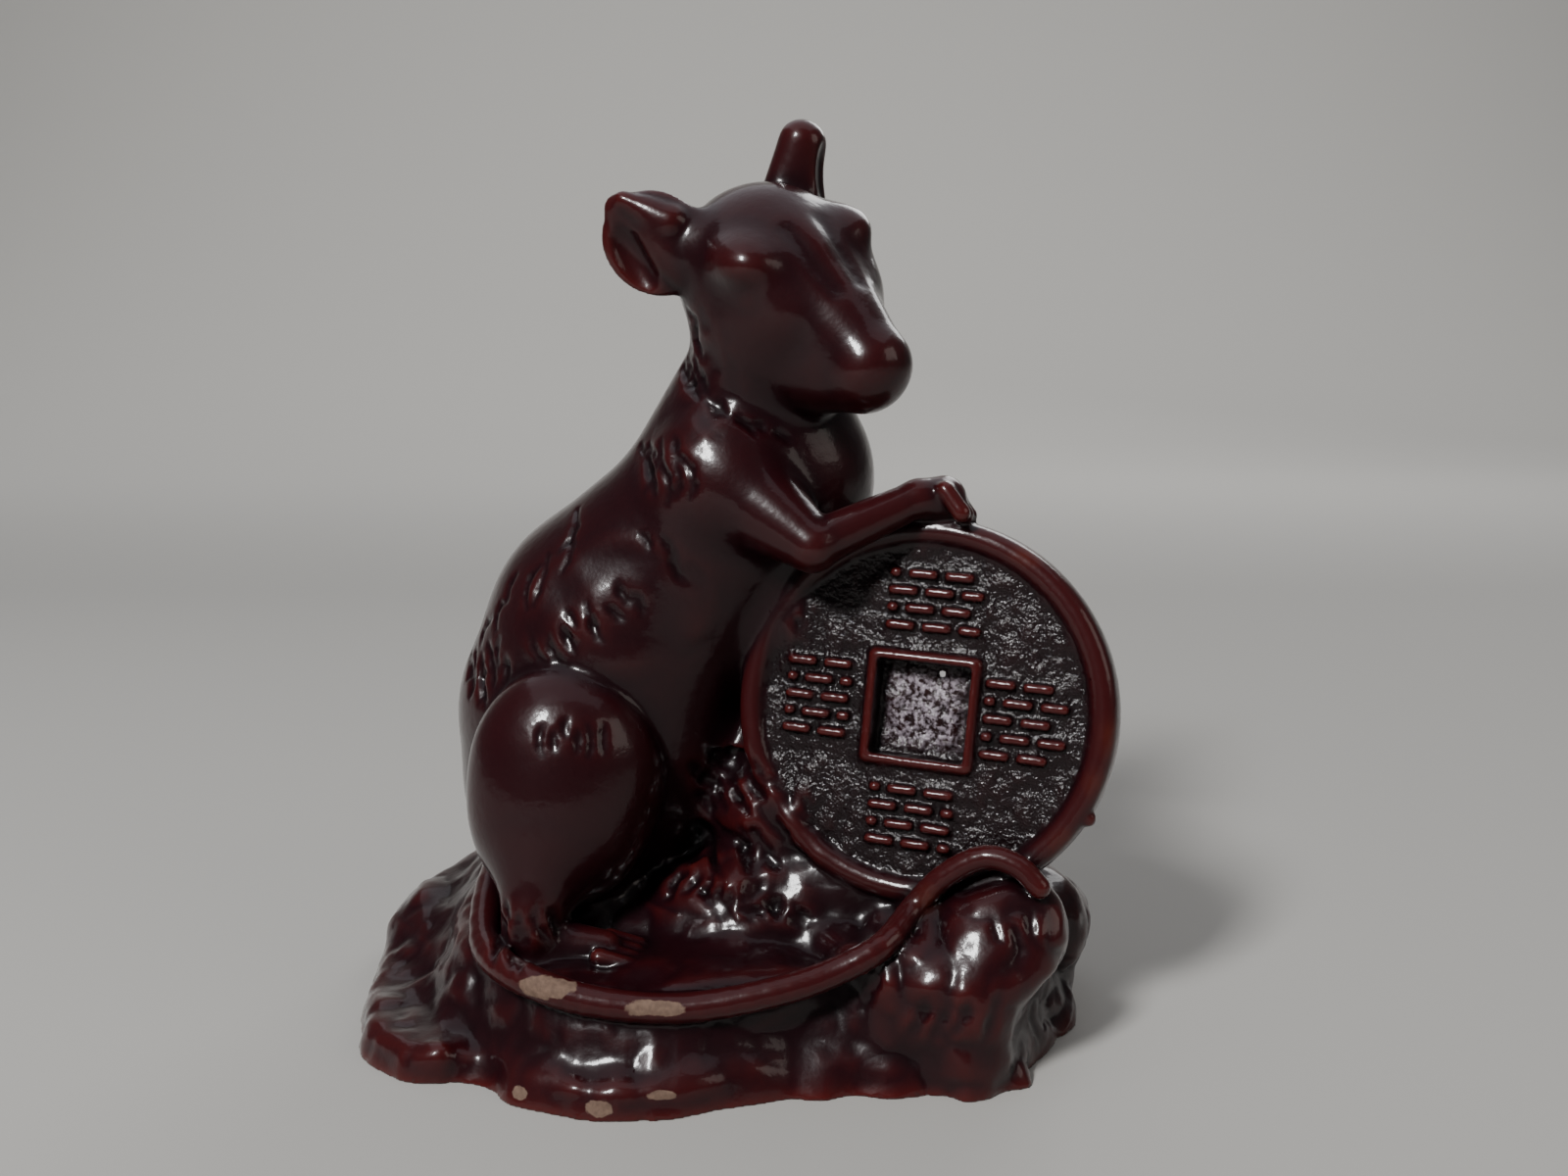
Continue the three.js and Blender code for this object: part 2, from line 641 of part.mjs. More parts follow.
// The point where that sum is least, or null where the planes don't fix one.
function lowestPoint(q) {
  const c00 = q[4] * q[7] - q[5] * q[5];
  const c01 = q[2] * q[5] - q[1] * q[7];
  const c02 = q[1] * q[5] - q[2] * q[4];
  const det = q[0] * c00 + q[1] * c01 + q[2] * c02;
  const size = q[0] + q[4] + q[7];
  if (Math.abs(det) < 1e-4 * size * size * size) return null;
  const c11 = q[0] * q[7] - q[2] * q[2];
  const c12 = q[1] * q[2] - q[0] * q[5];
  const c22 = q[0] * q[4] - q[1] * q[1];
  return [
    -(c00 * q[3] + c01 * q[6] + c02 * q[8]) / det,
    -(c01 * q[3] + c11 * q[6] + c12 * q[8]) / det,
    -(c02 * q[3] + c12 * q[6] + c22 * q[8]) / det,
  ];
}

function merged({ positions, triangles }, wanted) {
  const vertexCount = positions.length / 3;
  const point = Array.from({ length: vertexCount }, (_, v) => positions.slice(3 * v, 3 * v + 3));
  const faces = [];
  for (let t = 0; t < triangles.length; t += 3) faces.push(triangles.slice(t, t + 3));
  const around = Array.from({ length: vertexCount }, () => []);
  faces.forEach((face, f) => face.forEach((v) => around[v].push(f)));
  const planes = Array.from({ length: vertexCount }, () => new Float64Array(10));
  const version = new Int32Array(vertexCount);

  const normal = ([a, b, c]) => {
    const [ux, uy, uz] = [b[0] - a[0], b[1] - a[1], b[2] - a[2]];
    const [vx, vy, vz] = [c[0] - a[0], c[1] - a[1], c[2] - a[2]];
    return [uy * vz - uz * vy, uz * vx - ux * vz, ux * vy - uy * vx];
  };

  for (const face of faces) {
    const corner = face.map((v) => point[v]);
    const n = normal(corner);
    const area = Math.hypot(...n);
    if (area === 0) continue;
    const [a, b, c] = n.map((x) => x / area);
    const d = -(a * corner[0][0] + b * corner[0][1] + c * corner[0][2]);
    const terms = [a * a, a * b, a * c, a * d, b * b, b * c, b * d, c * c, c * d, d * d];
    for (const v of face) terms.forEach((term, i) => (planes[v][i] += term * area));
  }

  const neighbours = (v) => {
    const found = new Set();
    for (const f of around[v]) for (const w of faces[f]) if (w !== v) found.add(w);
    return found;
  };

  const queue = new Queue();
  const shortness = 1e-4;

  const consider = (u, v) => {
    const q = planes[u].map((x, i) => x + planes[v][i]);
    const [a, b] = [point[u], point[v]];
    const span = Math.hypot(a[0] - b[0], a[1] - b[1], a[2] - b[2]);
    const middle = a.map((x, i) => (x + b[i]) / 2);
    const spots = [a, b, middle];
    const best = lowestPoint(q);
    if (best && Math.hypot(...best.map((x, i) => x - middle[i])) < span) spots.push(best);
    const costs = spots.map((spot) => errorAt(q, spot));
    const cost = Math.min(...costs);
    const spot = spots[costs.indexOf(cost)];
    const from = [version[u], version[v]];
    queue.push({ u, v, from, spot, cost: Math.max(cost, 0) + shortness * span * span });
  };

  // True if moving v to the spot would turn one of its triangles over or flatten it.
  const turnsOver = (v, other, spot) =>
    around[v].some((f) => {
      if (faces[f].includes(other)) return false;
      const before = normal(faces[f].map((w) => point[w]));
      const after = normal(faces[f].map((w) => (w === v ? spot : point[w])));
      const size = Math.hypot(...before) * Math.hypot(...after);
      const same = before[0] * after[0] + before[1] * after[1] + before[2] * after[2];
      return same < 0.3 * size || Math.hypot(...after) < 1e-3;
    });

  faces.forEach(([a, b, c]) => {
    if (a < b) consider(a, b);
    if (b < c) consider(b, c);
    if (c < a) consider(c, a);
  });

  let left = faces.length;
  while (left > wanted && queue.items.length > 0) {
    const { u, v, from, spot } = queue.pop();
    if (from[0] !== version[u] || from[1] !== version[v]) continue;
    const [nearU, nearV] = [neighbours(u), neighbours(v)];
    const shared = [...nearU].filter((w) => nearV.has(w));
    if (shared.length !== 2 || turnsOver(u, v, spot) || turnsOver(v, u, spot)) continue;
    const kept = [];
    for (const f of around[v]) {
      if (faces[f].includes(u)) {
        for (const w of shared) around[w] = around[w].filter((g) => g !== f);
        around[u] = around[u].filter((g) => g !== f);
        faces[f] = null;
        left--;
      } else {
        faces[f] = faces[f].map((w) => (w === v ? u : w));
        kept.push(f);
      }
    }
    around[u].push(...kept);
    around[v] = [];
    point[u] = spot;
    planes[u] = planes[u].map((x, i) => x + planes[v][i]);
    version[u]++;
    version[v] = -1;
    for (const w of neighbours(u)) consider(u, w);
  }

  const index = [];
  const used = new Map();
  const out = [];
  for (const face of faces)
    if (face)
      for (const v of face) {
        if (!used.has(v)) {
          used.set(v, used.size);
          out.push(...point[v]);
        }
        index.push(used.get(v));
      }
  return { positions: out, triangles: index };
}

// The finished figurine, with the middle of its foot at the origin

function figurine() {
  const clay = new Clay();
  const coin = makeCoin();
  addRock(clay);
  addBody(clay);
  addHead(clay);
  addNearEar(clay);
  addFarEar(clay);
  addHindLegs(clay);
  addCoin(clay, coin);
  addTail(clay, coin);
  addFrontLegs(clay, coin);
  combFur(clay);
  clay.each(new THREE.Box3(low, high), (old, x, y, z) => Math.max(old, -z));
  const { positions, triangles } = merged(skin(clay), keptTriangles);
  const geometry = new THREE.BufferGeometry();
  geometry.setAttribute("position", new THREE.Float32BufferAttribute(positions, 3));
  geometry.setIndex(triangles);
  geometry.computeBoundingBox();
  const middle = geometry.boundingBox.getCenter(new THREE.Vector3());
  geometry.translate(-middle.x, -middle.y, -geometry.boundingBox.min.z);
  return geometry;
}

const resin = new THREE.MeshStandardMaterial({ color: 0x3a1214, roughness: 0.25, metalness: 0 });
const figure = new THREE.Group();
const rat = new THREE.Mesh(figurine(), resin);
rat.name = "rat_figurine";
figure.add(rat);

export default figure;
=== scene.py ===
# %% [markdown]
# A cast resin rat on a rock
#
# The real thing is a small figurine, poured in one piece in stone-filled polyester resin, stained
# dark red and lacquered. A rat sits on a rock, its front paws on a big round coin with a square
# hole, and its tail runs round the front of the rock. This lesson rebuilds it as a maker would:
# model it in clay, cut in the fine work, take the surface off as a mesh, then stain and lacquer it.

# %% Load the solid that this piece dresses
import math

import bpy
import numpy as np
import openvdb
from mathutils import Euler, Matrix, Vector


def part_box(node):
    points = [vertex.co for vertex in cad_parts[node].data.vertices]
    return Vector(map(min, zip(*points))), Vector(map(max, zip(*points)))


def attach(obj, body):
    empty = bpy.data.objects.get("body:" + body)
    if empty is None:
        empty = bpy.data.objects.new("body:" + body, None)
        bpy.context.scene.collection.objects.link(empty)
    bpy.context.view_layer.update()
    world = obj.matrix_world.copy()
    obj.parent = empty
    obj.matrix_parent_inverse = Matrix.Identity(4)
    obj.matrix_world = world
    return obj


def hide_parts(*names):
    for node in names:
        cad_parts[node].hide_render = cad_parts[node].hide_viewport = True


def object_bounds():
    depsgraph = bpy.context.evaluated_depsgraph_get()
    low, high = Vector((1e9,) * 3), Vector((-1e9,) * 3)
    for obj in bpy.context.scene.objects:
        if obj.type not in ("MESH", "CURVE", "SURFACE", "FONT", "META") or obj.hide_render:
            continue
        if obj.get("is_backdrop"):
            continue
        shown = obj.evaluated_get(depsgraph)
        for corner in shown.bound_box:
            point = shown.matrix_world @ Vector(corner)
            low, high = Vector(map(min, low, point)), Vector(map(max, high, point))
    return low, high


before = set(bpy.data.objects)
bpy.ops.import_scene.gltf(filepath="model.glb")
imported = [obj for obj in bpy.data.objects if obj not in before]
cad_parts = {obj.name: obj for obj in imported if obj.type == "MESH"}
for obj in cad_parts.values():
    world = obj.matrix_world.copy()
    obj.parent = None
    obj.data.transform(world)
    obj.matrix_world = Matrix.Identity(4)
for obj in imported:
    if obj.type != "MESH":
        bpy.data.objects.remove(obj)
solid_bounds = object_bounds()
solid_low, solid_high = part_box("rat_figurine")
print("solid, mm:", [round(1000 * side, 1) for side in solid_high - solid_low])

# %% [markdown]
# Lengths and colours
#
# The figurine is laid out in millimetres, as a maker would write it, and Blender works in metres,
# so one factor changes them over at the end. Colours are picked as sRGB hex values, as one reads
# them off a paint chart, but shaders add light, which needs linear values. One function does that.

# %% Millimetres, hex colours and a helper for shader nodes
MM = 0.001
STAIN = "#26070c"


def linear(hex_colour):
    """The linear RGBA of an sRGB hex colour."""
    parts = [int(hex_colour[n:n + 2], 16) / 255 for n in (1, 3, 5)]
    return [c / 12.92 if c <= 0.04045 else ((c + 0.055) / 1.055) ** 2.4 for c in parts] + [1]


def node(tree, kind, settings=None, values=None, links=None):
    """Adds one node: settings are its properties, values its sockets, links what feeds them."""
    made = tree.nodes.new("ShaderNode" + kind)
    for name, value in (settings or {}).items():
        setattr(made, name, value)
    for name, value in (values or {}).items():
        made.inputs[name].default_value = value
    for name, source in (links or {}).items():
        tree.links.new(source, made.inputs[name])
    return made


print("dark red stain, linear:", [round(c, 3) for c in linear(STAIN)])

# %% [markdown]
# Clay
#
# A carved figure could be sculpted by hand, or built from metaballs, or from primitives joined by
# booleans. Metaballs can't be cut, and booleans leave knife-sharp seams. A field of distances does
# both: each point of a fine grid holds its distance to the surface, negative inside. A lump is
# added by taking the smaller distance, and a tool mark is cut by taking the larger, and where two
# distances are nearly alike they are eased into each other, as a thumb smooths a seam.

# %% A block of space, sampled every quarter of a millimetre
CELL = 0.25
LOW = np.array([-38.0, -33.0, -2.4])
HIGH = np.array([35.5, 25.5, 83.5])

axes = [np.arange(lo, hi + CELL, CELL, dtype=np.float32) for lo, hi in zip(LOW, HIGH)]
clay = np.full([len(axis) for axis in axes], 99, np.float32)
print("grid points:", clay.shape, f"{clay.size / 1e6:.1f} million")


def region(low, high):
    """The part of the grid between two corners: its slices, and its coordinates for formulas."""
    cuts = []
    for n in range(3):
        first = max(int((low[n] - LOW[n]) / CELL), 0)
        last = min(int((high[n] - LOW[n]) / CELL) + 2, clay.shape[n])
        cuts.append(slice(first, max(last, first + 1)))
    x, y, z = (axes[n][cuts[n]] for n in range(3))
    return tuple(cuts), (x[:, None, None], y[None, :, None], z[None, None, :])


def add(lump, softness):
    """Adds a lump, which flows together with the rest over the given softness."""
    low, high, distance = lump
    margin = softness + 2 * CELL
    cuts, grid = region(low - margin, high + margin)
    old, new = clay[cuts], distance(*grid)
    ease = np.maximum(softness - np.abs(old - new), 0)
    clay[cuts] = np.minimum(old, new) - ease * ease / (4 * softness)


def cut(lump, softness):
    """Takes a lump away, and softens the edge it leaves."""
    low, high, distance = lump
    margin = softness + 2 * CELL
    cuts, grid = region(low - margin, high + margin)
    old, new = clay[cuts], -distance(*grid)
    ease = np.maximum(softness - np.abs(old - new), 0)
    clay[cuts] = np.maximum(old, new) + ease * ease / (4 * softness)


# %% Lumps of clay: eggs and limbs
def length(*parts):
    """The length of a vector whose parts are given."""
    return np.sqrt(sum(part * part for part in parts))


def turned(centre, turn):
    """Gives a function from a point to a lump's own axes: heading, tip and roll in degrees."""
    heading, tip, roll = (math.radians(angle) for angle in turn)
    rows = np.array(Euler((roll, tip, heading)).to_matrix().transposed(), np.float32)
    cx, cy, cz = (float(c) for c in centre)
    return lambda x, y, z: [a * (x - cx) + b * (y - cy) + c * (z - cz) for a, b, c in rows]


def egg(centre, radii, turn=(0, 0, 0)):
    """A ball stretched to three radii."""
    centre, own = np.array(centre, float), turned(centre, turn)

    def distance(x, y, z):
        scaled = [p / r for p, r in zip(own(x, y, z), radii)]
        away = length(*scaled)
        slope = length(*(p / r for p, r in zip(scaled, radii)))
        return away * (away - 1) / np.maximum(slope, 1e-4)

    return centre - max(radii), centre + max(radii), distance


def limb(a, ra, b, rb):
    """A round rod from one ball to another, which may differ in size."""
    a, b = np.array(a, float), np.array(b, float)
    axis = b - a
    span, shrink = float(axis @ axis), ra - rb
    lean = span - shrink * shrink

    def distance(x, y, z):
        p = [x - float(a[0]), y - float(a[1]), z - float(a[2])]
        along = sum(q * float(w) for q, w in zip(p, axis))
        beyond = along - span
        side = sum((q * span - along * float(w)) ** 2 for q, w in zip(p, axis))
        turn = np.sign(shrink) * shrink * shrink * side
        past_b = np.sign(beyond) * lean * beyond ** 2 * span > turn
        before_a = np.sign(along) * lean * along ** 2 * span < turn
        near_b = np.sqrt(side + beyond ** 2 * span) / span - rb
        near_a = np.sqrt(side + along ** 2 * span) / span - ra
        between = (np.sqrt(side * (lean / span)) + along * shrink) / span - ra
        return np.where(past_b, near_b, np.where(before_a, near_a, between))

    reach = max(ra, rb)
    return np.minimum(a, b) - reach, np.maximum(a, b) + reach, distance


print("a limb's box, mm:", *(corner.tolist() for corner in limb((0, 0, 0), 2, (0, 0, 9), 1)[:2]))


# %% More lumps: bars, discs and rings
def bar(centre, half, rounding, turn):
    """A box with rounded edges; half holds half its sizes."""
    centre, own = np.array(centre, float), turned(centre, turn)

    def distance(x, y, z):
        q = [np.abs(p) - h + rounding for p, h in zip(own(x, y, z), half)]
        outside = length(*(np.maximum(p, 0) for p in q))
        return outside + np.minimum(np.maximum(np.maximum(q[0], q[1]), q[2]), 0) - rounding

    reach = math.hypot(*half)
    return centre - reach, centre + reach, distance


def disc(centre, radius, half, rounding, turn):
    """A disc about its own Y, with rounded edges."""
    centre, own = np.array(centre, float), turned(centre, turn)

    def distance(x, y, z):
        p = own(x, y, z)
        out = length(p[0], p[2]) - radius + rounding
        back = np.abs(p[1]) - half + rounding
        corner = length(np.maximum(out, 0), np.maximum(back, 0))
        return corner + np.minimum(np.maximum(out, back), 0) - rounding

    reach = math.hypot(radius, half)
    return centre - reach, centre + reach, distance


def ring(centre, radius, thickness, turn):
    """A round ring about its own Y."""
    centre, own = np.array(centre, float), turned(centre, turn)

    def distance(x, y, z):
        p = own(x, y, z)
        return length(length(p[0], p[2]) - radius, p[1]) - thickness

    reach = radius + thickness
    return centre - reach, centre + reach, distance


print("a ring's box, mm:", *(corner.tolist() for corner in ring((0, 0, 0), 9, 1, (0, 0, 0))[:2]))

# %% [markdown]
# Rock
#
# The foot is a rough, flat-bottomed rock. Three slabs give its plan, its slope and the block under
# the coin; eggs give the boulders, and soft cuts part its edge into lobes. Its roughness is noise
# added to the distances, so the surface itself moves, which a bump map would not do at the outline.
# The coarse waves are the solid's own, so this surface stays where the solid's is.

# %% A smooth curve through points, for the rock's plan and for the tail
def curve_through(points, steps, closed=False):
    """Points along a centripetal Catmull-Rom curve, which passes through the given points."""
    points = np.array(points, float)
    spans = len(points) - (0 if closed else 1)
    if closed:
        padded = np.vstack([points[-1], points, points[:2]])
    else:
        padded = np.vstack([2 * points[0] - points[1], points, 2 * points[-1] - points[-2]])
    made = []
    for t in np.arange(steps + (0 if closed else 1)) * spans / steps:
        first = min(int(t), spans - 1)
        share = t - first
        p0, p1, p2, p3 = padded[first:first + 4]
        pairs = (p0, p1), (p1, p2), (p2, p3)
        d0, d1, d2 = (max(np.linalg.norm(b - a) ** 0.5, 1e-4) for a, b in pairs)
        start = ((p1 - p0) / d0 - (p2 - p0) / (d0 + d1) + (p2 - p1) / d1) * d1
        end = ((p2 - p1) / d1 - (p3 - p1) / (d1 + d2) + (p3 - p2) / d2) * d1
        rise = 3 * (p2 - p1) - 2 * start - end
        settle = 2 * (p1 - p2) + start + end
        made.append(p1 + share * (start + share * (rise + share * settle)))
    return np.array(made)


print("a bent curve starts:", curve_through([(0, 0, 0), (9, 0, 0), (9, 9, 0)], 4)[:2].round(1).tolist())


# %% Noise for the grain and slabs for the foot
def noise(grid, wave):
    """Smooth noise between -1 and 1 over a region, with bumps about one wave apart."""
    cells, shares = [], []
    for axis in grid:
        place = axis.ravel().astype(np.float64) / wave
        cell = np.floor(place).astype(int)
        share = place - cell
        cells.append(cell)
        shares.append((share * share * (3 - 2 * share)).astype(np.float32))
    corners = [np.arange(cell.min(), cell.max() + 2) for cell in cells]
    i, j, k = np.meshgrid(*corners, indexing="ij")
    swirl = np.sin(i * 127.1 + j * 311.7 + k * 74.7) * 43758.5453
    values = (2 * (swirl - np.floor(swirl)) - 1).astype(np.float32)
    for n in range(3):
        first = cells[n] - corners[n][0]
        shape = [-1 if m == n else 1 for m in range(3)]
        share = shares[n].reshape(shape)
        values = values.take(first, n) * (1 - share) + values.take(first + 1, n) * share
    return values


def slab(outline, top, lean, rounding):
    """A slab with a plan outline, a flat top, and a wall that leans in by a share of its height."""
    rim = curve_through([(x, y, 0) for x, y in outline], 4 * len(outline), closed=True)[:, :2]

    def distance(x, y, z):
        x, y = x[:, :, 0], y[:, :, 0]
        least = np.full((x.shape[0], y.shape[1]), 1e9, np.float32)
        inside = np.zeros(least.shape, bool)
        for (ax, ay), (bx, by) in zip(rim, np.roll(rim, -1, 0)):
            ex, ey = bx - ax, by - ay
            share = np.clip(((x - ax) * ex + (y - ay) * ey) / (ex * ex + ey * ey), 0, 1)
            least = np.minimum(least, length(x - ax - share * ex, y - ay - share * ey))
            if ay != by:
                inside ^= ((ay > y) != (by > y)) & (x < ax + (y - ay) / ey * ex)
        side = np.where(inside, -least, least)[:, :, None] + lean * z + rounding
        above = z - top + rounding
        corner = length(np.maximum(side, 0), np.maximum(above, 0))
        return corner + np.minimum(np.maximum(side, above), 0) - rounding

    low = np.append(rim.min(0), LOW[2])
    return low, np.append(rim.max(0), top), distance


print("noise on the foot's corner:", noise(region(LOW, LOW)[1], 9).ravel()[:2].round(2))

# %% Where the rock's slabs, stones and clefts lie
SLABS = [
    # The foot of the rock
    dict(outline=[
        (-32.6, -17.2), (-29.6, -22.2), (-25.4, -24.7), (-20.4, -24.7), (-18, -26.2),
        (-14.3, -29.2), (-10.5, -30.6), (-4.2, -30), (1.1, -27.6), (6.8, -26), (15, -26.2),
        (22.8, -25.8), (25.6, -20.5), (30, -12), (30.8, 0), (26, 12), (17, 19.5), (3, 22.5),
        (-11, 21.5), (-23, 16.5), (-31, 8), (-34, -3),
    ], top=3, lean=0.1, rounding=1.2),
    # The slope up to the floor that the tail lies round
    dict(outline=[
        (-29.5, -5), (-28, -17), (-21.5, -23.8), (-16.5, -28), (-6, -29.8), (2, -28), (9, -26.8),
        (17, -25.8), (21, -10), (17, 12), (-4, 19), (-25, 14),
    ], top=9, lean=0.5, rounding=1),
    # The block under the coin
    dict(outline=[
        (8, -22), (13, -25), (18, -26), (22.6, -25.6), (25.8, -20), (29.6, -12), (30.4, 0),
        (25, 10), (12, 12), (3, 6), (4, -10),
    ], top=11.6, lean=0.02, rounding=2.6),
]
STONES = [
    ((-27, 3, 1), (7.6, 12, 7.6)), ((-9, 3, 7), (19, 17, 8)), ((8, -6, 15), (10.5, 8.5, 14.5)),
    ((13, -11, 12), (9, 7, 7)), ((2, -12, 9), (9, 6, 6)), ((20.5, -18, 9), (8.5, 6.6, 6.4)),
    ((24, -21, 12), (4.4, 4, 4.6)), ((28, -6, 8), (4.4, 8, 4.6)),
]
CLEFTS = [
    ((-37, -9.5, 4), (-27, -12.5, 7)), ((-20.6, -28, 0), (-22.4, -19, 7)),
    ((5.4, -30, 0), (6.4, -25.2, 6.6)), ((30, -22, 0), (25.6, -22.5, 8)),
    ((34, 6, 2), (27, 4, 13)), ((0, 26, 1), (2, 18, 9)), ((-28, 16, 1), (-22, 11, 8)),
]
CLEFT_FOOT, CLEFT_HEAD = 1.6, 0.8
print("rock:", len(SLABS), "slabs,", len(STONES), "stones,", len(CLEFTS), "clefts")

# %% Build the rock and roughen it
# Each wave: how far apart its bumps are and how high they stand, in millimetres
ROCK_WAVES = ((9, 0.72), (4, 0.45))
ROCK_RIDGES = ((6.5, 0.7), (3.1, 0.3))
ROCK_GRIT = ((2.1, 0.12), (1, 0.08))
ROCK_TOP = 24
RIDGES_FROM, RIDGES_OVER, RIDGE_FOLD = 8, 10, 0.4

for shape in SLABS:
    add(slab(**shape), 1.5)
for centre, radii in STONES:
    add(egg(centre, radii), 3)
for foot, head in CLEFTS:
    cut(limb(foot, CLEFT_FOOT, head, CLEFT_HEAD), 2.4)
rock_cuts, rock_grid = region(LOW, (HIGH[0], HIGH[1], ROCK_TOP))
for wave, height in ROCK_WAVES:
    clay[rock_cuts] += height * noise(rock_grid, wave)
# Noise folded at zero leaves blunt ridges, which are highest on the block under the coin.
toward_coin = np.clip((rock_grid[0] - RIDGES_FROM) / RIDGES_OVER, 0, 1)
ridged = 1 + toward_coin * toward_coin * (3 - 2 * toward_coin)
for wave, height in ROCK_RIDGES:
    clay[rock_cuts] += height * ridged * (RIDGE_FOLD - np.abs(noise(rock_grid, wave)))
for wave, height in ROCK_GRIT:
    clay[rock_cuts] += height * noise(rock_grid, wave)
# The floor that the tail lies round is trodden flat.
add(egg((-2, -19.5, 6.4), (10.5, 5.6, 2.5)), 2)
highest = np.nonzero((clay < 0).any((0, 1)))[0][-1]
print("rock: highest point", round(float(axes[2][highest]), 1), "mm")

# %% [markdown]
# Rat
#
# The body is a chain of limbs of clay from rump to neck, with eggs for the belly, the haunches and
# the cheeks. A carver of the wax original would block it out in just this order: body, head, ears,
# hind legs. The head's parts are written in the head's own axes, so the whole head can be turned.

# %% Build the body
RUMP, WAIST, CHEST, NECK = (-12.6, 1, 25.6), (-10.6, 0, 33), (-2.4, -3, 44), (2.2, -4, 56)
add(limb(RUMP, 14.4, WAIST, 13.2), 3)
add(limb(WAIST, 13.2, CHEST, 9.8), 1)
add(limb(CHEST, 9.8, NECK, 7.6), 1)
add(egg((4.2, -3, 48.5), (8.4, 8.4, 9.6)), 2)
add(egg((-14, 1, 18), (12.4, 13.5, 9)), 3)
add(egg((7, -5, 34), (7, 6, 9)), 3)
print("back, rump to neck:", round(math.dist(RUMP, NECK)), "mm")

# %% Build the head
HEAD_CENTRE = np.array([3, -6, 66.2])
HEAD_TURN = (36, -17, 18)
EYE = 2.6
SIDES = (-1, 1)


def turn_matrix(turn):
    """The matrix that turns a lump's own axes to the figurine's."""
    heading, tip, roll = (math.radians(angle) for angle in turn)
    return np.array(Euler((roll, tip, heading)).to_matrix())


def in_head(x, y, z):
    """A point in the head's own axes: X to the rat's left, -Y along the snout, Z to the crown."""
    return turn_matrix(HEAD_TURN) @ (x, y, z) + HEAD_CENTRE


add(egg(in_head(0, 0.4, 0.6), (7.9, 8, 7.6), HEAD_TURN), 2)
add(limb(in_head(0, -4, 0.2), 5.9, in_head(-0.2, -13.3, -3.3), 3.1), 2)
add(limb(in_head(0, -3, -4.6), 5.2, in_head(-0.6, -12.4, -4.8), 3), 1.5)
add(limb(in_head(0, -4, -2.2), 5.6, in_head(-0.1, -13, -4.5), 3), 1.5)
for side in SIDES:
    add(egg(in_head(side * 4, -2.4, -3.6), (4.2, 6, 5.4), HEAD_TURN), 2)
    add(egg(in_head(side * 2.3, -7.6, -5), (2.9, 4.6, 3.6), HEAD_TURN), 2.2)
    add(egg(in_head(side * 5.3, -3.6, 4.1), (2.4, 3, 2), HEAD_TURN), 1.8)
    add(egg(in_head(side * 4.2, -5.2, 0), (2.4, 3.6, 3.2), HEAD_TURN), 2.2)
    add(egg(in_head(side * 5.5, -5.2, 1.5), [EYE / 2] * 3, HEAD_TURN), 0.6)
    # A shallow groove each side leaves a ridge down the middle of the face.
    cut(limb(in_head(side * 1.9, -5.5, 6.9), 0.4, in_head(side * 1.5, -10.8, 3), 0.3), 1.4)
add(egg(in_head(-0.4, -14.3, -3.6), (2.7, 1.8, 2.2), HEAD_TURN), 2)
print("nose at", in_head(-0.4, -14.3, -3.6).round(1), "mm")

# %% Build the ears
EAR_THICKNESS = 2.4

# The near ear: a leaf, hollow on its outer side, with its upper edge rolled over
near_ear, leaf_turn = np.array([-7, -8.6, 69.3]), (-6, 32, 0)
add(egg((-3.2, -8.4, 68.6), (3, 2.4, 3)), 1.5)
add(egg(near_ear + (0.3, 0, -0.2), (4.9, EAR_THICKNESS / 2, 4.3), leaf_turn), 1)
add(egg((-9.9, -8.4, 72.2), (1.1, 0.8, 1)), 1)
cut(egg(near_ear + (-1.7, -1.8, -1.8), (4.4, 2.2, 1.9), (-6, 60, 0)), 0.3)
add(egg(near_ear + (1.3, -0.7, -0.3), (4.2, 1.4, 1.9), (-6, 60, 0)), 0.4)
add(limb(near_ear + (-2.4, -0.5, 3.4), 0.7, near_ear + (1.6, -0.6, 1.4), 1.7), 0.5)

# The far ear: a fin on a broad root, with its hollow turned away
far_ear = np.array([6.3, -1.7, 75])
add(limb(far_ear + (-2.8, 0, -2.6), 1.8, far_ear + (-0.6, 0, 3.4), 1.9), 1)
add(limb(far_ear + (0.1, 0, -2.8), 1.7, far_ear + (0, 0, 3), 1.6), 1.4)
cut(egg(far_ear + (1.8, -1, 0.6), (0.9, 1.3, 2.8)), 0.4)
print("ears:", round(math.dist(near_ear, far_ear)), "mm apart")

# %% Build the hind legs and feet
TOE = 1.6
HAUNCH = (8.6, 6.6, 9.7)
add(egg((-15, -12, 23), HAUNCH), 0.8)
add(egg((-15.8, -12.4, 18.4), (7.2, 6.3, 7.4)), 3)
add(limb((-16.5, -15, 17), 4, (-17.4, -18.2, 11.2), 2.6), 2)
add(egg((-10, 12, 23), HAUNCH), 1.5)
FEET = [
    ((-16.6, -17.4, 9.6), (-11.2, -17.9, 9.2)),
    ((-4, -8.5, 10.6), (-0.8, -12.4, 10.2)),
    ((-11, 14, 10.5), (-3, 15.5, 10)),
]
TOE_PLACES = (-1.5, -0.5, 0.5, 1.5)
TOE_PITCH, TOE_LENGTH, TOE_DROP = 0.9 * TOE, 2.6, 0.7
for heel, toes in FEET:
    add(limb(heel, 2.1, toes, 1.5), 1)
    ahead = np.subtract(toes, heel) * (1, 1, 0)
    ahead /= np.linalg.norm(ahead)
    aside = np.array([-ahead[1], ahead[0], 0])
    for place in TOE_PLACES:
        root = toes + place * TOE_PITCH * aside
        add(limb(root, TOE / 2, root + TOE_LENGTH * ahead - (0, 0, TOE_DROP), TOE / 2), 0.25)
print("feet:", len(FEET), "with", len(TOE_PLACES), "toes each")

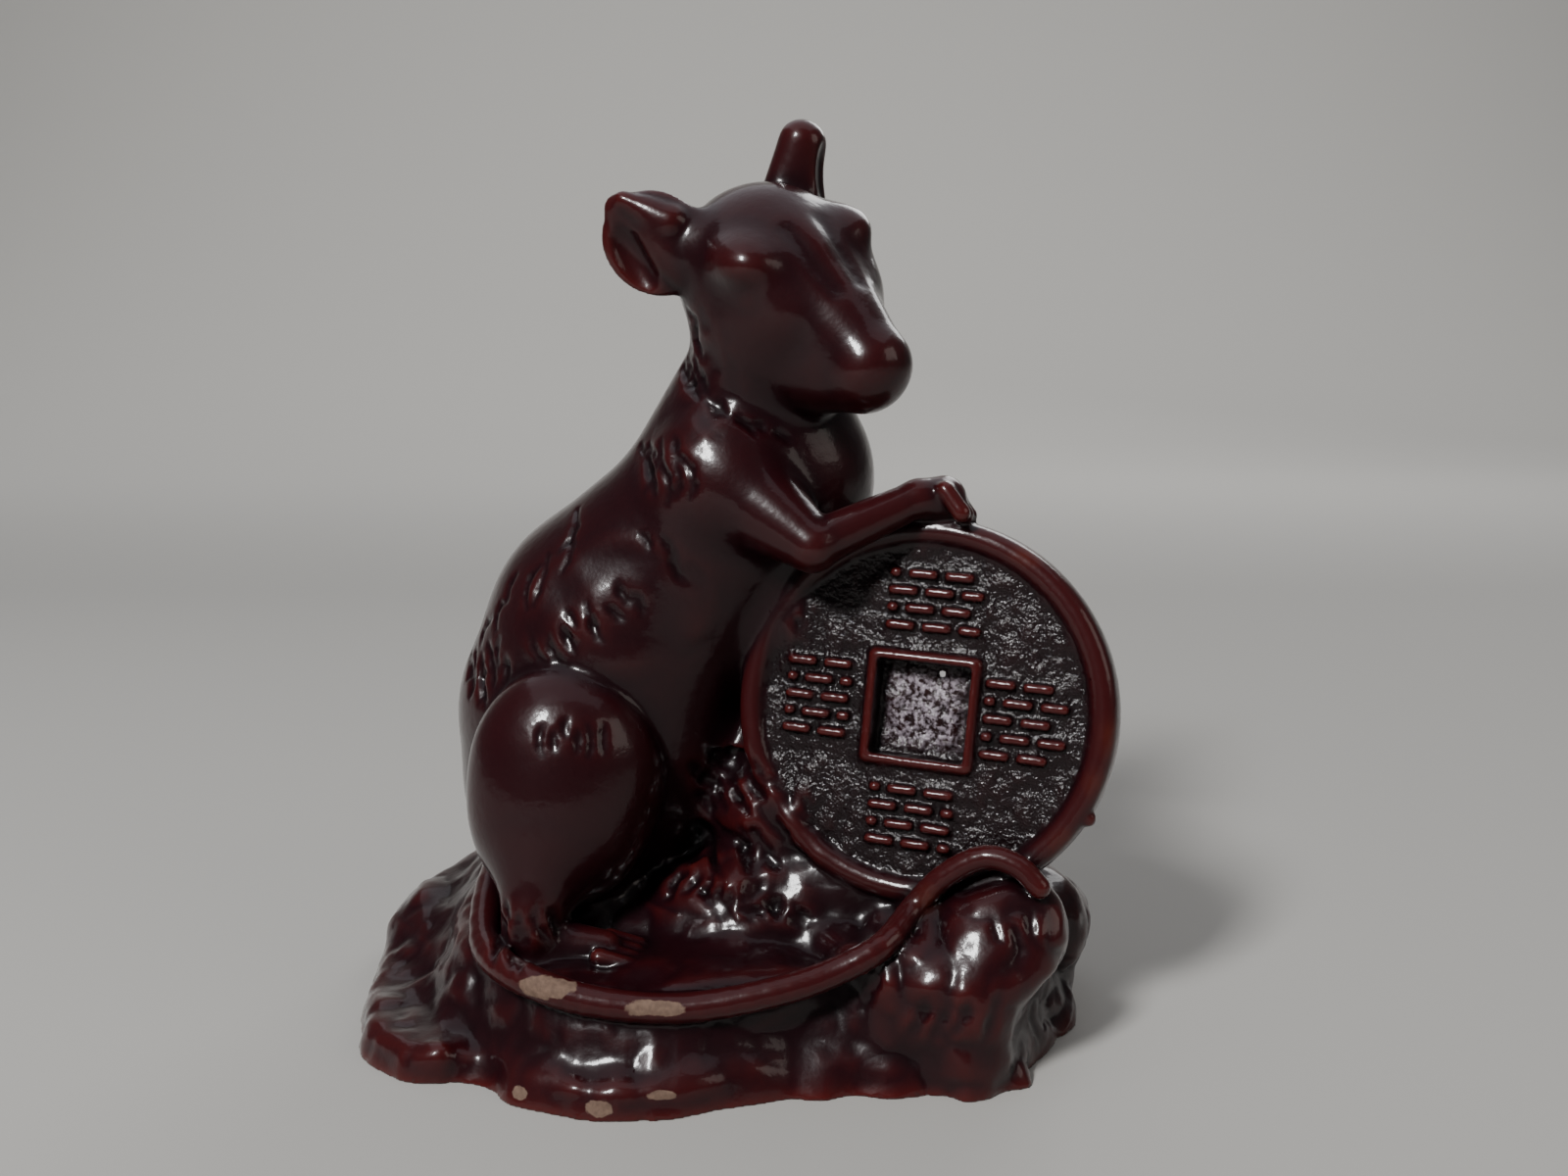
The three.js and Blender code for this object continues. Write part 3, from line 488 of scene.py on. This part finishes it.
# %% [markdown]
# Coin
#
# The coin is a disc with a round bead along each rim, a sunk ground, and a square hole with a
# raised border. Four blocks of short raised strokes, laid like bricks, stand round the border. The
# ground between them was stippled with a punch, so it glitters under the lacquer, and on the hole's
# ground the glints are also painted into the colour as pale specks. Each lump is placed in the
# coin's own axes, so the whole coin can lean.

# %% The coin's sizes and its own axes
COIN_TURN = (-19.5, 2.3, -10.8)
COIN_DIAMETER, COIN_THICKNESS = 33.4, 4.4
RIM_WIDTH, RIM_HEIGHT = 2.3, 0.9
HOLE_SIDE, HOLE_DEPTH = 8.3, 1.8
BORDER_WIDTH, BORDER_HEIGHT = 0.9, 0.8
STROKE_WIDTH, STROKE_HEIGHT = 0.8, 0.7
STIPPLE_FADE, STIPPLE_REACH = 0.6, 1.6
COIN_RADIUS = COIN_DIAMETER / 2
COIN_CENTRE = turn_matrix(COIN_TURN) @ (0, 0, COIN_RADIUS) + (14.1, -18.7, 13.3)


def on_coin(x, y, z):
    """A point in the coin's own axes: X across its face, Y back from its rim's crest, Z up."""
    return turn_matrix(COIN_TURN) @ (x, y, z) + COIN_CENTRE


def on_edge(degrees, lift, back):
    """A point on the coin's edge, by its angle from X, its height off the edge and its depth."""
    reach = COIN_RADIUS + lift
    angle = math.radians(degrees)
    return on_coin(reach * math.cos(angle), back, reach * math.sin(angle))


def stipple(depth, radius, side, amount):
    """Roughens the coin's face at a given depth, inside a radius or a square of a given side."""
    reach = np.array([COIN_RADIUS] * 3)
    cuts, grid = region(COIN_CENTRE - reach, COIN_CENTRE + reach)
    x, y, z = turned(COIN_CENTRE, COIN_TURN)(*grid)
    out = length(x, z) - radius if radius else np.maximum(np.abs(x), np.abs(z)) - side / 2
    share = np.clip(-out / STIPPLE_FADE, 0, 1) * np.clip(STIPPLE_REACH - np.abs(y - depth), 0, 1)
    clay[cuts] += amount * share * (noise(grid, 0.7) + 0.8 * noise(grid, 1.8))


print("coin: centre at", COIN_CENTRE.round(1), "mm")

# %% Build the disc, the rims and the border
half = COIN_THICKNESS / 2
bead = RIM_WIDTH / 2
crest = COIN_RADIUS - RIM_WIDTH * 0.55
add(disc(on_coin(0, half, 0), COIN_RADIUS, half - RIM_HEIGHT, 1, COIN_TURN), 0.4)
stipple(RIM_HEIGHT, crest - bead * 0.6, None, 0.15)
for depth in (bead, COIN_THICKNESS - bead):
    add(ring(on_coin(0, depth, 0), crest, bead, COIN_TURN), 0.3)
face = on_coin(0, RIM_HEIGHT, 0)
border = HOLE_SIDE / 2 + BORDER_WIDTH
add(bar(face, (border, BORDER_HEIGHT, border), 0.7, COIN_TURN), 0.3)
print("coin: outer face inside its rim,", round(2 * (crest - bead), 1), "mm across")

# %% Lay the blocks of strokes and cut the hole
STROKE_BLOCKS = [
    dict(middle=(0.4, 9.4), size=(8.4, 6.2)), dict(middle=(-9.2, 0.2), size=(6, 7.4)),
    dict(middle=(9, 0), size=(7.2, 7.4)), dict(middle=(0, -9.2), size=(7.6, 5.8)),
]
STROKE, STROKE_GAP, ROW_PITCH = 2.6, 0.6, 1.5
strokes = 0
for block in STROKE_BLOCKS:
    (across, up), (width, height) = block["middle"], block["size"]
    rows = round(height / ROW_PITCH)
    for row in range(rows):
        rise = up + (row - (rows - 1) / 2) * ROW_PITCH
        start = -width / 2 - (row % 2) * (STROKE + STROKE_GAP) / 2
        while start < width / 2:
            left, right = max(start, -width / 2), min(start + STROKE, width / 2)
            start += STROKE + STROKE_GAP
            if right - left > STROKE_WIDTH:
                middle = on_coin(across + (left + right) / 2, RIM_HEIGHT, rise)
                sides = ((right - left) / 2, STROKE_HEIGHT, STROKE_WIDTH / 2)
                add(bar(middle, sides, STROKE_WIDTH * 0.4, COIN_TURN), 0.2)
                strokes += 1
cut(bar(face, (HOLE_SIDE / 2, HOLE_DEPTH, HOLE_SIDE / 2), 0.3, COIN_TURN), 0.3)
stipple(RIM_HEIGHT + HOLE_DEPTH, None, HOLE_SIDE, 0.28)
# A nub of resin that the mould left on the rim
add(egg(on_coin(14.9, 1.2, -7.2), (0.7, 0.7, 0.7)), 0.3)
print("coin:", strokes, "strokes")

# %% [markdown]
# Tail and front legs
#
# The tail is one round rod that gets thinner, so a chain of limbs along a curve makes it. It comes
# round the front of the rock, over the coin's lower edge, and down into the rock. The front legs
# lie over the coin's upper rim, the near one in front of it and the far one behind.

# %% Build the tail
TAIL, TAIL_TIP = 3, 1.9
TAIL_STEPS = 56
tail_path = curve_through([
    (-20, 2, 14), (-22.2, -8, 12.6), (-21.4, -18, 9.9), (-19.2, -22, 9.3), (-16.1, -24.5, 8.9),
    (-11.6, -25.6, 7.9), (-4.4, -26, 7.4), (3.4, -25.6, 8.6), (8.3, -24.7, 9.9),
    (12.3, -23.8, 11.8),
    *(on_coin(x, -TAIL_TIP / 2, z - COIN_RADIUS)
      for x, z in ((1.6, 0.3), (3.8, 3.2), (7.2, 5.4), (10, 5), (11.8, 3.6))),
], TAIL_STEPS)
tail_radii = np.linspace(TAIL, TAIL_TIP, TAIL_STEPS + 1) / 2
for n in range(TAIL_STEPS):
    add(limb(tail_path[n], tail_radii[n], tail_path[n + 1], tail_radii[n + 1]), 0.1)
print("tail:", round(float(np.linalg.norm(np.diff(tail_path, axis=0), axis=1).sum())), "mm long")

# %% Build the front legs
FOREARM, PAW = 3.8, 4
arm, paw = FOREARM / 2, PAW / 2
elbow = np.array([6.7, -15.2, 43.8])
hand = on_edge(89.5, paw - 0.4, 0.8)
wrist = elbow + 0.8 * (hand - elbow) + (0, 0, 0.8)
add(egg((-1.4, -8.6, 48.8), (6.2, 5.6, 7), (0, 30, 0)), 1.5)
add(limb((0.4, -10, 48), 4.6, elbow, arm + 0.4), 1.6)
add(limb(elbow, arm + 0.2, wrist, arm - 0.3), 0.5)
add(limb(wrist, arm - 0.3, hand, paw), 0.6)
for back in (-1.1, 0.3, 1.7):
    add(limb(on_edge(88, 2.2, back), TOE / 2, on_edge(82.5, 0.5, back), TOE / 2), 0.4)
far_elbow = (12.4, 1, 41.5)
far_hand = on_edge(72, -paw - 0.6, COIN_THICKNESS + paw - 0.8)
add(limb((6, 2.5, 48), 5, far_elbow, arm + 0.5), 1.5)
add(limb(far_elbow, arm + 0.2, far_hand, paw), 0.8)
print("near forearm:", round(math.dist(elbow, hand), 1), "mm long")

# %% [markdown]
# Fur
#
# The coat is smooth, with tufts only at the ruff, the shoulder, the flank, the haunch and the
# mound. Each tuft is a row of short grooves, as a carver makes with a small gouge. A groove is
# placed in the front view, by x and z, and a look along Y finds where the clay's surface lies.

# %% A gouge that follows the surface
chance = np.random.default_rng(7)
PROUD = 0.36  # how far a cutter's middle stands off the surface, as a share of its width


def surface(x, z, behind=False):
    """Where a line along Y through x and z first meets the clay, or None where it never does."""
    column = clay[int(round((x - LOW[0]) / CELL)), :, int(round((z - LOW[2]) / CELL))]
    order = column[::-1] if behind else column
    n = int(np.argmax(order < 0))
    if n == 0:
        return None
    share = order[n - 1] / (order[n - 1] - order[n])
    steps = n - 1 + share
    y = axes[1][-1] - steps * CELL if behind else LOW[1] + steps * CELL
    return np.array([x, y, z])


def hair(root, stroke, width, behind=False):
    """One gouge mark over the surface: fine at its ends, and bent a little."""
    stroke = np.array(stroke)
    aside = np.array([-stroke[1], stroke[0]]) * chance.uniform(-0.8, 0.8)
    trail = [surface(*(root + stroke * t + aside * t * (1 - t)), behind=behind)
             for t in (0, 0.3, 0.7, 1)]
    if any(spot is None for spot in trail):
        return
    out = np.array([0, width * (PROUD if behind else -PROUD), 0])
    radii = width / 2 * np.array([0.6, 1, 0.9, 0.5])
    for n in range(3):
        cut(limb(trail[n] + out, radii[n], trail[n + 1] + out, radii[n + 1]), 0.5)


def fur(corner, along, down, columns, rows, stroke, width, behind=False):
    """A patch of marks: rows and columns from a corner, each mark a little out of line."""
    for row in range(rows):
        for column in range(columns):
            share_along = (column + 0.5 * (row % 2) + chance.uniform(-0.35, 0.35)) / columns
            share_down = (row + chance.uniform(-0.35, 0.35)) / rows
            root = np.array(corner) + np.array(along) * share_along + np.array(down) * share_down
            sway = np.array(stroke) * chance.uniform(0.6, 1.3, 2)
            hair(root, sway, width * chance.uniform(0.6, 1.2), behind)


print("flank's surface at", surface(-12, 38).round(1), "mm")


# %% Roughen the flank, the ruff and the mound
def roughen(centre, radii, wave, amount):
    """Unsettles the surface inside an egg, as matted fur does."""
    low, high, distance = egg(centre, radii)
    cuts, grid = region(low, high)
    share = np.clip(-distance(*grid) / 1.5, 0, 1)
    clay[cuts] += amount * share * noise(grid, wave)


roughen((-11, -12, 38), (10, 6, 7), 3, 0.35)
roughen((-3, -10, 57), (5, 6, 8), 1.2, 0.08)
roughen((1, -13, 18), (8, 7, 9), 1.8, 0.3)
print("flank's surface, roughened, at", surface(-12, 38).round(1), "mm")

# %% Comb the fur, patch by patch
FUR = [
    # Behind the cheek, down the neck
    dict(corner=(-5.4, 63.5), along=(2.4, -0.6), down=(0.6, -7), columns=3, rows=4,
         stroke=(0.5, -2.4), width=0.6),
    # Under the jaw
    dict(corner=(-2.6, 56.2), along=(7.5, -3.6), down=(0.2, -1.6), columns=6, rows=1,
         stroke=(1.1, -1.1), width=0.45),
    # The shoulder
    dict(corner=(-8.4, 51.8), along=(4.4, 1.4), down=(0.6, -3.2), columns=4, rows=2,
         stroke=(0.6, -3), width=0.7),
    # The side of the chest
    dict(corner=(-8, 44.2), along=(4.4, -1.6), down=(0, -2), columns=3, rows=1,
         stroke=(1.1, -2), width=0.7),
    # The flank
    dict(corner=(-17.5, 35.4), along=(8.5, 5.6), down=(0.8, -2.2), columns=5, rows=2,
         stroke=(1.3, -1.7), width=0.65),
    # Above and behind the haunch
    dict(corner=(-25.2, 31.4), along=(4.6, 3.4), down=(0.2, -2.8), columns=5, rows=2,
         stroke=(0.2, -2.4), width=0.7),
    # The mound behind the coin
    dict(corner=(-4.2, 23.6), along=(7.6, 0.6), down=(1.4, -8.6), columns=4, rows=5,
         stroke=(1.4, -1.5), width=0.9),
    # The edge of the mound, over the floor
    dict(corner=(-6.8, 13.8), along=(10.4, 0.6), down=(0, -1), columns=9, rows=1,
         stroke=(-1.2, -1.6), width=0.8),
    # The floor, below the coin
    dict(corner=(-3, 13.4), along=(9, -0.8), down=(0.6, -1.6), columns=7, rows=2,
         stroke=(1.3, -0.7), width=0.6),
    # The ankle
    dict(corner=(-20.4, 13.4), along=(6, 0), down=(0, -2.4), columns=5, rows=2,
         stroke=(0.4, -1.8), width=0.7),
    # Short lines on the top of the haunch
    dict(corner=(-16.4, 28.6), along=(6.4, 0.4), down=(0, -2), columns=6, rows=1,
         stroke=(0.1, -2), width=0.5),
    # Long faint lines on the back
    dict(corner=(-22.4, 37), along=(10, 10.4), down=(1, -2), columns=7, rows=1,
         stroke=(-1.2, -3.6), width=0.45),
    # Ridges down the block under the coin
    dict(corner=(12.5, 8.6), along=(12, 0.6), down=(0.4, -4), columns=5, rows=1,
         stroke=(-1.6, -4.6), width=1.1),
    # The rock beside the end of the tail
    dict(corner=(21.6, 14.6), along=(4.4, -0.6), down=(0.6, -2.4), columns=4, rows=1,
         stroke=(0.5, -2), width=0.6),
]
for patch in FUR:
    fur(**patch)
# Plainer fur on the far side
fur((-20, 24), (18, 0), (2, 22), 7, 6, (0.5, -3), 0.45, behind=True)
print("marks in front:", sum(patch["columns"] * patch["rows"] for patch in FUR))

# %% Cut the foot flat
clay[:, :, axes[2] < 0] = np.maximum(clay[:, :, axes[2] < 0], 0.5)
foot_cuts, foot_grid = region(LOW, (HIGH[0], HIGH[1], 1))
clay[foot_cuts] = np.maximum(clay[foot_cuts], -foot_grid[2])
print("clay inside:", round(float((clay < 0).sum() * CELL ** 3 / 1000), 1), "cubic cm")

# %% [markdown]
# From clay to mesh
#
# A field has to become faces before Blender can show it. OpenVDB, which comes with Blender, walks
# the grid and lays one vertex in each cell that the surface crosses, which gives even quads. That
# is finer than flat stretches need, so a decimate modifier then merges faces where the form is
# plain, and keeps them where the carving is.

# %% Take the surface off and thin it out
FACE_LIMIT = 190_000

grid = openvdb.FloatGrid(2.0)
grid.copyFromArray(np.clip(clay, -2, 2))
points, quads = grid.convertToQuads()
points = points * CELL + LOW
middle = (points.min(0) + points.max(0)) / 2
to_solid = np.array([-middle[0], -middle[1], -points[:, 2].min()])


def mesh_from(name, vertices, faces):
    """A mesh from corners and from faces that all have the same number of them."""
    made = bpy.data.meshes.new(name)
    made.vertices.add(len(vertices))
    made.vertices.foreach_set("co", np.asarray(vertices, np.float32).ravel())
    made.loops.add(faces.size)
    made.loops.foreach_set("vertex_index", faces.astype(np.int32).ravel())
    made.polygons.add(len(faces))
    made.polygons.foreach_set("loop_start", np.arange(len(faces), dtype=np.int32) * faces.shape[1])
    made.update(calc_edges=True)
    return made


figure = bpy.data.objects.new("rat_on_rock", mesh_from("Raw cast", points, quads))
bpy.context.scene.collection.objects.link(figure)
thinner = figure.modifiers.new("Thin out plain stretches", "DECIMATE")
thinner.ratio = min(FACE_LIMIT / (2 * len(quads)), 1)
seen = figure.evaluated_get(bpy.context.evaluated_depsgraph_get())
cast = bpy.data.meshes.new_from_object(seen)
# Merging edges can leave two faces on the same three points; one of them goes.
cast.validate()
figure.modifiers.clear()
figure.data = cast
cast.name = "Cast"
print("quads:", len(quads), "kept triangles:", sum(len(p.vertices) - 2 for p in cast.polygons))

# %% [markdown]
# Where the finish changes, and where shade is painted
#
# On the real figurine the dark stain is wiped off the high spots, the lacquer is worn on the coin's
# rim, and chips show the bare tan resin. Shade is painted into the colour too: the hollows are
# painted darker, nearly black in the creases, and the lighter red on edges is partly painted light.
# A shader can't see how hollow a place is, so that is measured once, in the clay, and kept on the
# mesh as attributes: the field averaged over a small ball is below zero in a hollow, and above zero
# on an edge.

# %% Helpers that read the clay at the cast's points
spots = np.zeros(len(cast.vertices) * 3, np.float32)
cast.vertices.foreach_get("co", spots)
spots = spots.reshape(-1, 3).astype(float)
print("points to mark:", len(spots))


def averaged(field, reach, times):
    """The field averaged over a box of the given reach in millimetres, several times over."""
    steps = max(int(round(reach / CELL)), 1)
    for _ in range(times):
        for axis in range(3):
            ends = [(steps + 1, steps) if n == axis else (0, 0) for n in range(3)]
            total = np.cumsum(np.pad(field, ends, mode="edge"), axis, dtype=np.float64)
            count = field.shape[axis]
            ahead = total.take(range(2 * steps + 1, 2 * steps + 1 + count), axis)
            field = ((ahead - total.take(range(count), axis)) / (2 * steps + 1)).astype(np.float32)
    return field


def sampled(field):
    """The field's value at each point of the cast, between the grid's own points."""
    place = (spots - LOW) / CELL
    cell = np.clip(place.astype(int), 0, np.array(field.shape) - 2)
    share = place - cell
    value = np.zeros(len(spots))
    for corner in np.ndindex(2, 2, 2):
        weight = np.prod(np.where(corner, share, 1 - share), 1)
        value += weight * field[tuple((cell + corner).T)]
    return value


def inside(marks):
    """1 in the middle of any marked egg, falling evenly to 0 at its skin."""
    reach = [np.linalg.norm((spots - centre) / radii, axis=1) for centre, radii in marks]
    return np.clip(1 - np.min(reach, 0), 0, 1)


def keep(name, value):
    """Keeps one value for each point of the cast, under a name that a shader can read."""
    cast.attributes.new(name, "FLOAT", "POINT").data.foreach_set("value", value.astype(np.float32))
    print(name, "mean", round(float(value.mean()), 3), "highest", round(float(value.max()), 2))


# %% Measure hollows and edges
FINE_REACH, BROAD_REACH = 0.5, 2.4
FULL_HOLLOW, FULL_EDGE = 0.22, 0.3
# Hollow and sunk mark where shade is painted into the colour: near black in creases, darker in broad
# recesses. Edge marks convex edges, painted lighter red: partly rubbed stain, partly painted light.
fine = sampled(averaged(np.clip(clay, -1.2, 1.2), FINE_REACH, 2))
broad = sampled(averaged(np.clip(clay, -5, 5), BROAD_REACH, 2))
keep("hollow", np.clip(-fine / FULL_HOLLOW, 0, 1))
keep("edge", np.clip(fine / FULL_EDGE, 0, 1))
keep("sunk", np.clip(0.5 - broad / BROAD_REACH, 0, 1))

# %% Mark the chips, the worn rim and the stippled ground
CHIPS = [((-15.2, -26.2, 9.3), (4.4, 2, 1.6)), ((-6.2, -27.4, 8), (4.4, 2, 1.1)),
         ((-10.4, -30.4, 1.1), (2, 1.8, 1.1)), ((-17, -28.2, 1.2), (1.3, 1.2, 0.8)),
         ((-5.4, -30.2, 2), (2.2, 1.6, 0.7))]
WORN = [((16.2, -21.3, 14.7), (1.8, 1.8, 1.8)), ((31.3, -21, 28.5), (1.6, 2, 2.6)),
        ((30, -21.6, 24.9), (1.4, 2, 1.6)), ((24.8, -16, 43.2), (2, 2, 1.3)),
        ((27.4, -21.5, 19.8), (1.5, 2, 1.6))]
keep("chip", inside(CHIPS))
keep("worn", inside(WORN))
x, y, z = turned(COIN_CENTRE, COIN_TURN)(*spots.T)
from_rim = np.clip((crest - bead - np.hypot(x, z)) / 0.4, 0, 1)
below_strokes = np.clip((y - RIM_HEIGHT + 0.5) / 0.3, 0, 1)
keep("stippled", from_rim * below_strokes * (y < COIN_THICKNESS / 2 + 1))
# The hole's ground, where glints are painted as pale specks.
from_wall = HOLE_SIDE / 2 - np.maximum(np.abs(x), np.abs(z))
in_hole = (y > RIM_HEIGHT + 1) * (y < COIN_THICKNESS - 1)
keep("hole", np.clip((from_wall - 0.5) / 1.5, 0, 1) * in_hole)

# %% Put the cast where the solid stands
cast.vertices.foreach_set("co", ((spots + to_solid) * MM).astype(np.float32).ravel())
cast.update()
cast.shade_smooth()
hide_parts("rat_figurine")
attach(figure, "root")
print("cast stands at", (to_solid * MM).round(4), "m from its clay")

# %% [markdown]
# Stained and lacquered resin
#
# Polyester resin filled with stone dust is dull and tan when it leaves the mould. This one has a
# dark red stain, wiped off the high spots, and a coat of gloss lacquer, and its hollows are painted
# nearly black as painted shade. Principled BSDF has just these layers: a base, with the stain's
# colour and a satin roughness, and a clear coat over it. The marks kept on the mesh drive the
# colour, the painted shade among it, and noise breaks it up.

# %% The marks and noises that the stain and the painted shade follow
resin = bpy.data.materials.new("Stained cast resin under gloss lacquer")
resin.use_nodes = True
tree = resin.node_tree
shader = tree.nodes["Principled BSDF"]
place = node(tree, "TexCoord").outputs["Object"]
PER_METRE = 1 / MM

marks = {name: node(tree, "Attribute", {"attribute_name": name}).outputs["Fac"]
         for name in ("sunk", "hollow", "edge", "stippled", "hole", "worn", "chip")}
# Each noise: the size of its blotches in millimetres, and how many finer noises lie on it
NOISES = {"clouds": (7, 3), "rubbing": (1.2, 3), "breaks": (1.3, 6), "stone dust": (0.5, 3),
          "orange peel": (1.1, 3), "punch marks": (0.4, 3)}
noises = {}
for name, (size, detail) in NOISES.items():
    values = {"Scale": PER_METRE / size, "Detail": detail}
    noises[name] = node(tree, "TexNoise", values=values, links={"Vector": place}).outputs["Fac"]
print("marks:", *marks, "noises:", *noises)

# %% Mix the stain, the painted shade, the rubbed edges, the painted glints and the chips
TIMES = {"operation": "MULTIPLY", "use_clamp": True}
MINUS = {"operation": "SUBTRACT", "use_clamp": True}
# A Mix node has sockets of every kind under the same names, so its colours go by number.
BLEND, UNDER, OVER, BLENDED = {"data_type": "RGBA"}, 6, 7, 2

rubbed = node(tree, "Math", TIMES, links={0: marks["worn"], 1: noises["rubbing"]}).outputs[0]
broken = node(tree, "Math", TIMES, {1: 0.75}, {0: noises["breaks"]}).outputs[0]
ragged = node(tree, "Math", MINUS, links={0: marks["chip"], 1: broken}).outputs[0]
bare = node(tree, "Math", TIMES, {1: 14}, {0: ragged}).outputs[0]

# Painted glints: pale specks painted on the hole's ground, each about as big as a punch mark.
speckled = node(tree, "MapRange", values={"From Min": 0.42, "From Max": 0.64},
                links={"Value": noises["punch marks"]}).outputs["Result"]
painted_glints = node(tree, "Math", TIMES, links={0: speckled, 1: marks["hole"]}).outputs[0]

# Each layer: where it lies, how thick it is there, and its colour. Sunk and hollow are painted
# shade, darker in broad recesses and near black in creases. Edge paints convex edges lighter red,
# partly rubbed stain and partly painted light. The pale layer on the hole's ground is painted glints.
LAYERS = [
    (marks["sunk"], 1, "#12050a"), (noises["clouds"], 0.6, "#1a060a"),
    (marks["hollow"], 0.9, "#080305"), (marks["edge"], 0.45, "#5c1a15"),
    (marks["stippled"], 0.75, "#0d0608"), (rubbed, 0.7, "#5c2618"), (painted_glints, 0.75, "#a89da7"),
]
colour = None
for where, strength, hex_colour in LAYERS:
    share = node(tree, "Math", TIMES, {1: strength}, {0: where}).outputs[0]
    below = {UNDER: colour} if colour else {}
    colours = {UNDER: linear(STAIN), OVER: linear(hex_colour)}
    colour = node(tree, "Mix", BLEND, colours, {0: share, **below}).outputs[BLENDED]
# A chip shows the resin itself: tan, with paler stone dust in it.
dust = node(tree, "Mix", BLEND, {UNDER: linear("#40302a"), OVER: linear("#806a5b")},
            {0: noises["stone dust"]})
chipped = node(tree, "Mix", BLEND, links={0: bare, UNDER: colour, OVER: dust.outputs[BLENDED]})
tree.links.new(chipped.outputs[BLENDED], shader.inputs["Base Color"])
print("colour layers:", len(LAYERS) + 1)

# %% Bump, gloss and the lacquer
peel = node(tree, "Bump", values={"Strength": 0.25, "Distance": 0.15 * MM},
            links={"Height": noises["orange peel"]})
grit = node(tree, "Bump", values={"Distance": 0.18 * MM},
            links={"Strength": marks["stippled"], "Height": noises["punch marks"],
                   "Normal": peel.outputs["Normal"]})
rough = node(tree, "MapRange", values={"To Min": 0.32, "To Max": 0.8}, links={"Value": bare})
# Dust lies on the lacquer in the deep places and dulls it.
clean = node(tree, "MapRange", values={"To Min": 1, "To Max": 0.55}, links={"Value": marks["sunk"]})
lacquer = node(tree, "Math", MINUS, links={0: clean.outputs["Result"], 1: bare})
for source, socket in (
        (grit.outputs["Normal"], "Normal"), (grit.outputs["Normal"], "Coat Normal"),
        (rough.outputs["Result"], "Roughness"), (lacquer.outputs[0], "Coat Weight")):
    tree.links.new(source, shader.inputs[socket])
shader.inputs["IOR"].default_value = 1.5
shader.inputs["Specular IOR Level"].default_value = 0.15
shader.inputs["Coat Roughness"].default_value = 0.12
# Lacquer's own IOR is near 1.5; a lower one keeps the pale floor from greying the dark stain.
shader.inputs["Coat IOR"].default_value = 1.3
cast.materials.clear()
cast.materials.append(resin)
print("stain nodes:", len(tree.nodes))

# %% [markdown]
# Floor, light and camera
#
# A plain pale sweep, as in a product photographer's tent: a floor that curves up into a wall, so no
# horizon shows. Gloss shows its surroundings more than its own colour, so the lights are big soft
# panels: one high on the left in front, which makes the bright spots on brow, shoulder and haunch,
# a wide one overhead, dim ones on the right and behind, and one for the wall alone.

# %% The pale sweep
SWEEP_WIDTH, SWEEP_FRONT, SWEEP_BACK, SWEEP_BEND, SWEEP_HEIGHT = 3.0, -2.0, 0.6, 0.65, 1.6
profile = [(SWEEP_FRONT, 0.0)]
for angle in np.linspace(0, math.pi / 2, 13):
    profile.append((SWEEP_BACK + SWEEP_BEND * math.sin(angle), SWEEP_BEND * (1 - math.cos(angle))))
profile.append((SWEEP_BACK + SWEEP_BEND, SWEEP_HEIGHT))
verts = [(side * SWEEP_WIDTH / 2, y, z) for y, z in profile for side in SIDES]
faces = np.array([(2 * n, 2 * n + 1, 2 * n + 3, 2 * n + 2) for n in range(len(profile) - 1)])
sweep = bpy.data.objects.new("pale_sweep", mesh_from("Pale sweep", verts, faces))
sweep.data.shade_smooth()
bpy.context.scene.collection.objects.link(sweep)
sweep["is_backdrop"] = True
paper = bpy.data.materials.new("Matt paper")
paper.use_nodes = True
paper_shader = paper.node_tree.nodes["Principled BSDF"]
paper_shader.inputs["Base Color"].default_value = linear("#a09e9a")
paper_shader.inputs["Roughness"].default_value = 0.9
sweep.data.materials.append(paper)
print("sweep:", len(faces), "faces")

# %% The room and its soft lights
world = bpy.data.worlds.new("White room")
bpy.context.scene.world = world
world.use_nodes = True
room = world.node_tree.nodes["Background"]
room.inputs["Color"].default_value = linear("#eef1f4")
room.inputs["Strength"].default_value = 0.09

FIGURE, WALL = (0, 0, 0.04), (0, SWEEP_BACK + SWEEP_BEND, 0.3)
LIGHTS = [
    ("Window, high left", (-0.26, -0.4, 0.44), FIGURE, (0.09, 0.13), 5.2, "#ffffff"),
    ("Ceiling", (0, 0.2, 0.8), FIGURE, (1.2, 1.2), 3, "#f4f7ff"),
    ("Room, right", (0.5, -0.25, 0.3), FIGURE, (0.3, 0.3), 0.5, "#fff4ea"),
    ("Fill, behind", (0.25, 0.5, 0.4), FIGURE, (0.3, 0.3), 1, "#ffffff"),
    ("Light on the wall", (0, 0.45, 0.6), WALL, (1.6, 0.3), 9, "#ffffff"),
]
for name, position, aim, (wide, high), watts, tint in LIGHTS:
    lamp = bpy.data.lights.new(name, "AREA")
    lamp.shape, lamp.size, lamp.size_y, lamp.energy = "RECTANGLE", wide, high, watts
    lamp.color = linear(tint)[:3]
    holder = bpy.data.objects.new(name, lamp)
    holder.location = position
    holder.rotation_euler = (Vector(aim) - Vector(position)).to_track_quat("-Z", "Y").to_euler()
    bpy.context.scene.collection.objects.link(holder)
print("lights:", len(LIGHTS))

# %% The camera, at the photograph's viewing angle
VIEWPOINT = np.array([4.3, -138, 60.6])
TILT_DOWN = 9.46
lens = bpy.data.cameras.new("Photograph's place")
lens.sensor_width, lens.lens = 36, 33.75
lens.clip_start, lens.clip_end = 0.005, 10
camera = bpy.data.objects.new("Camera", lens)
camera.location = (VIEWPOINT + to_solid * (1, 1, 0)) * MM
camera.rotation_euler = (math.radians(90 - TILT_DOWN), 0, 0)
bpy.context.scene.collection.objects.link(camera)
bpy.context.scene.camera = camera
print("camera at", [round(c, 3) for c in camera.location], "m")

# %% Write down both sizes and finish
size = {"solid": [list(corner) for corner in solid_bounds],
        "visual": [list(corner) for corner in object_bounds()]}
for name, corners in size.items():
    print(name, "box, mm:", np.round(np.array(corners) * 1000, 2).tolist())
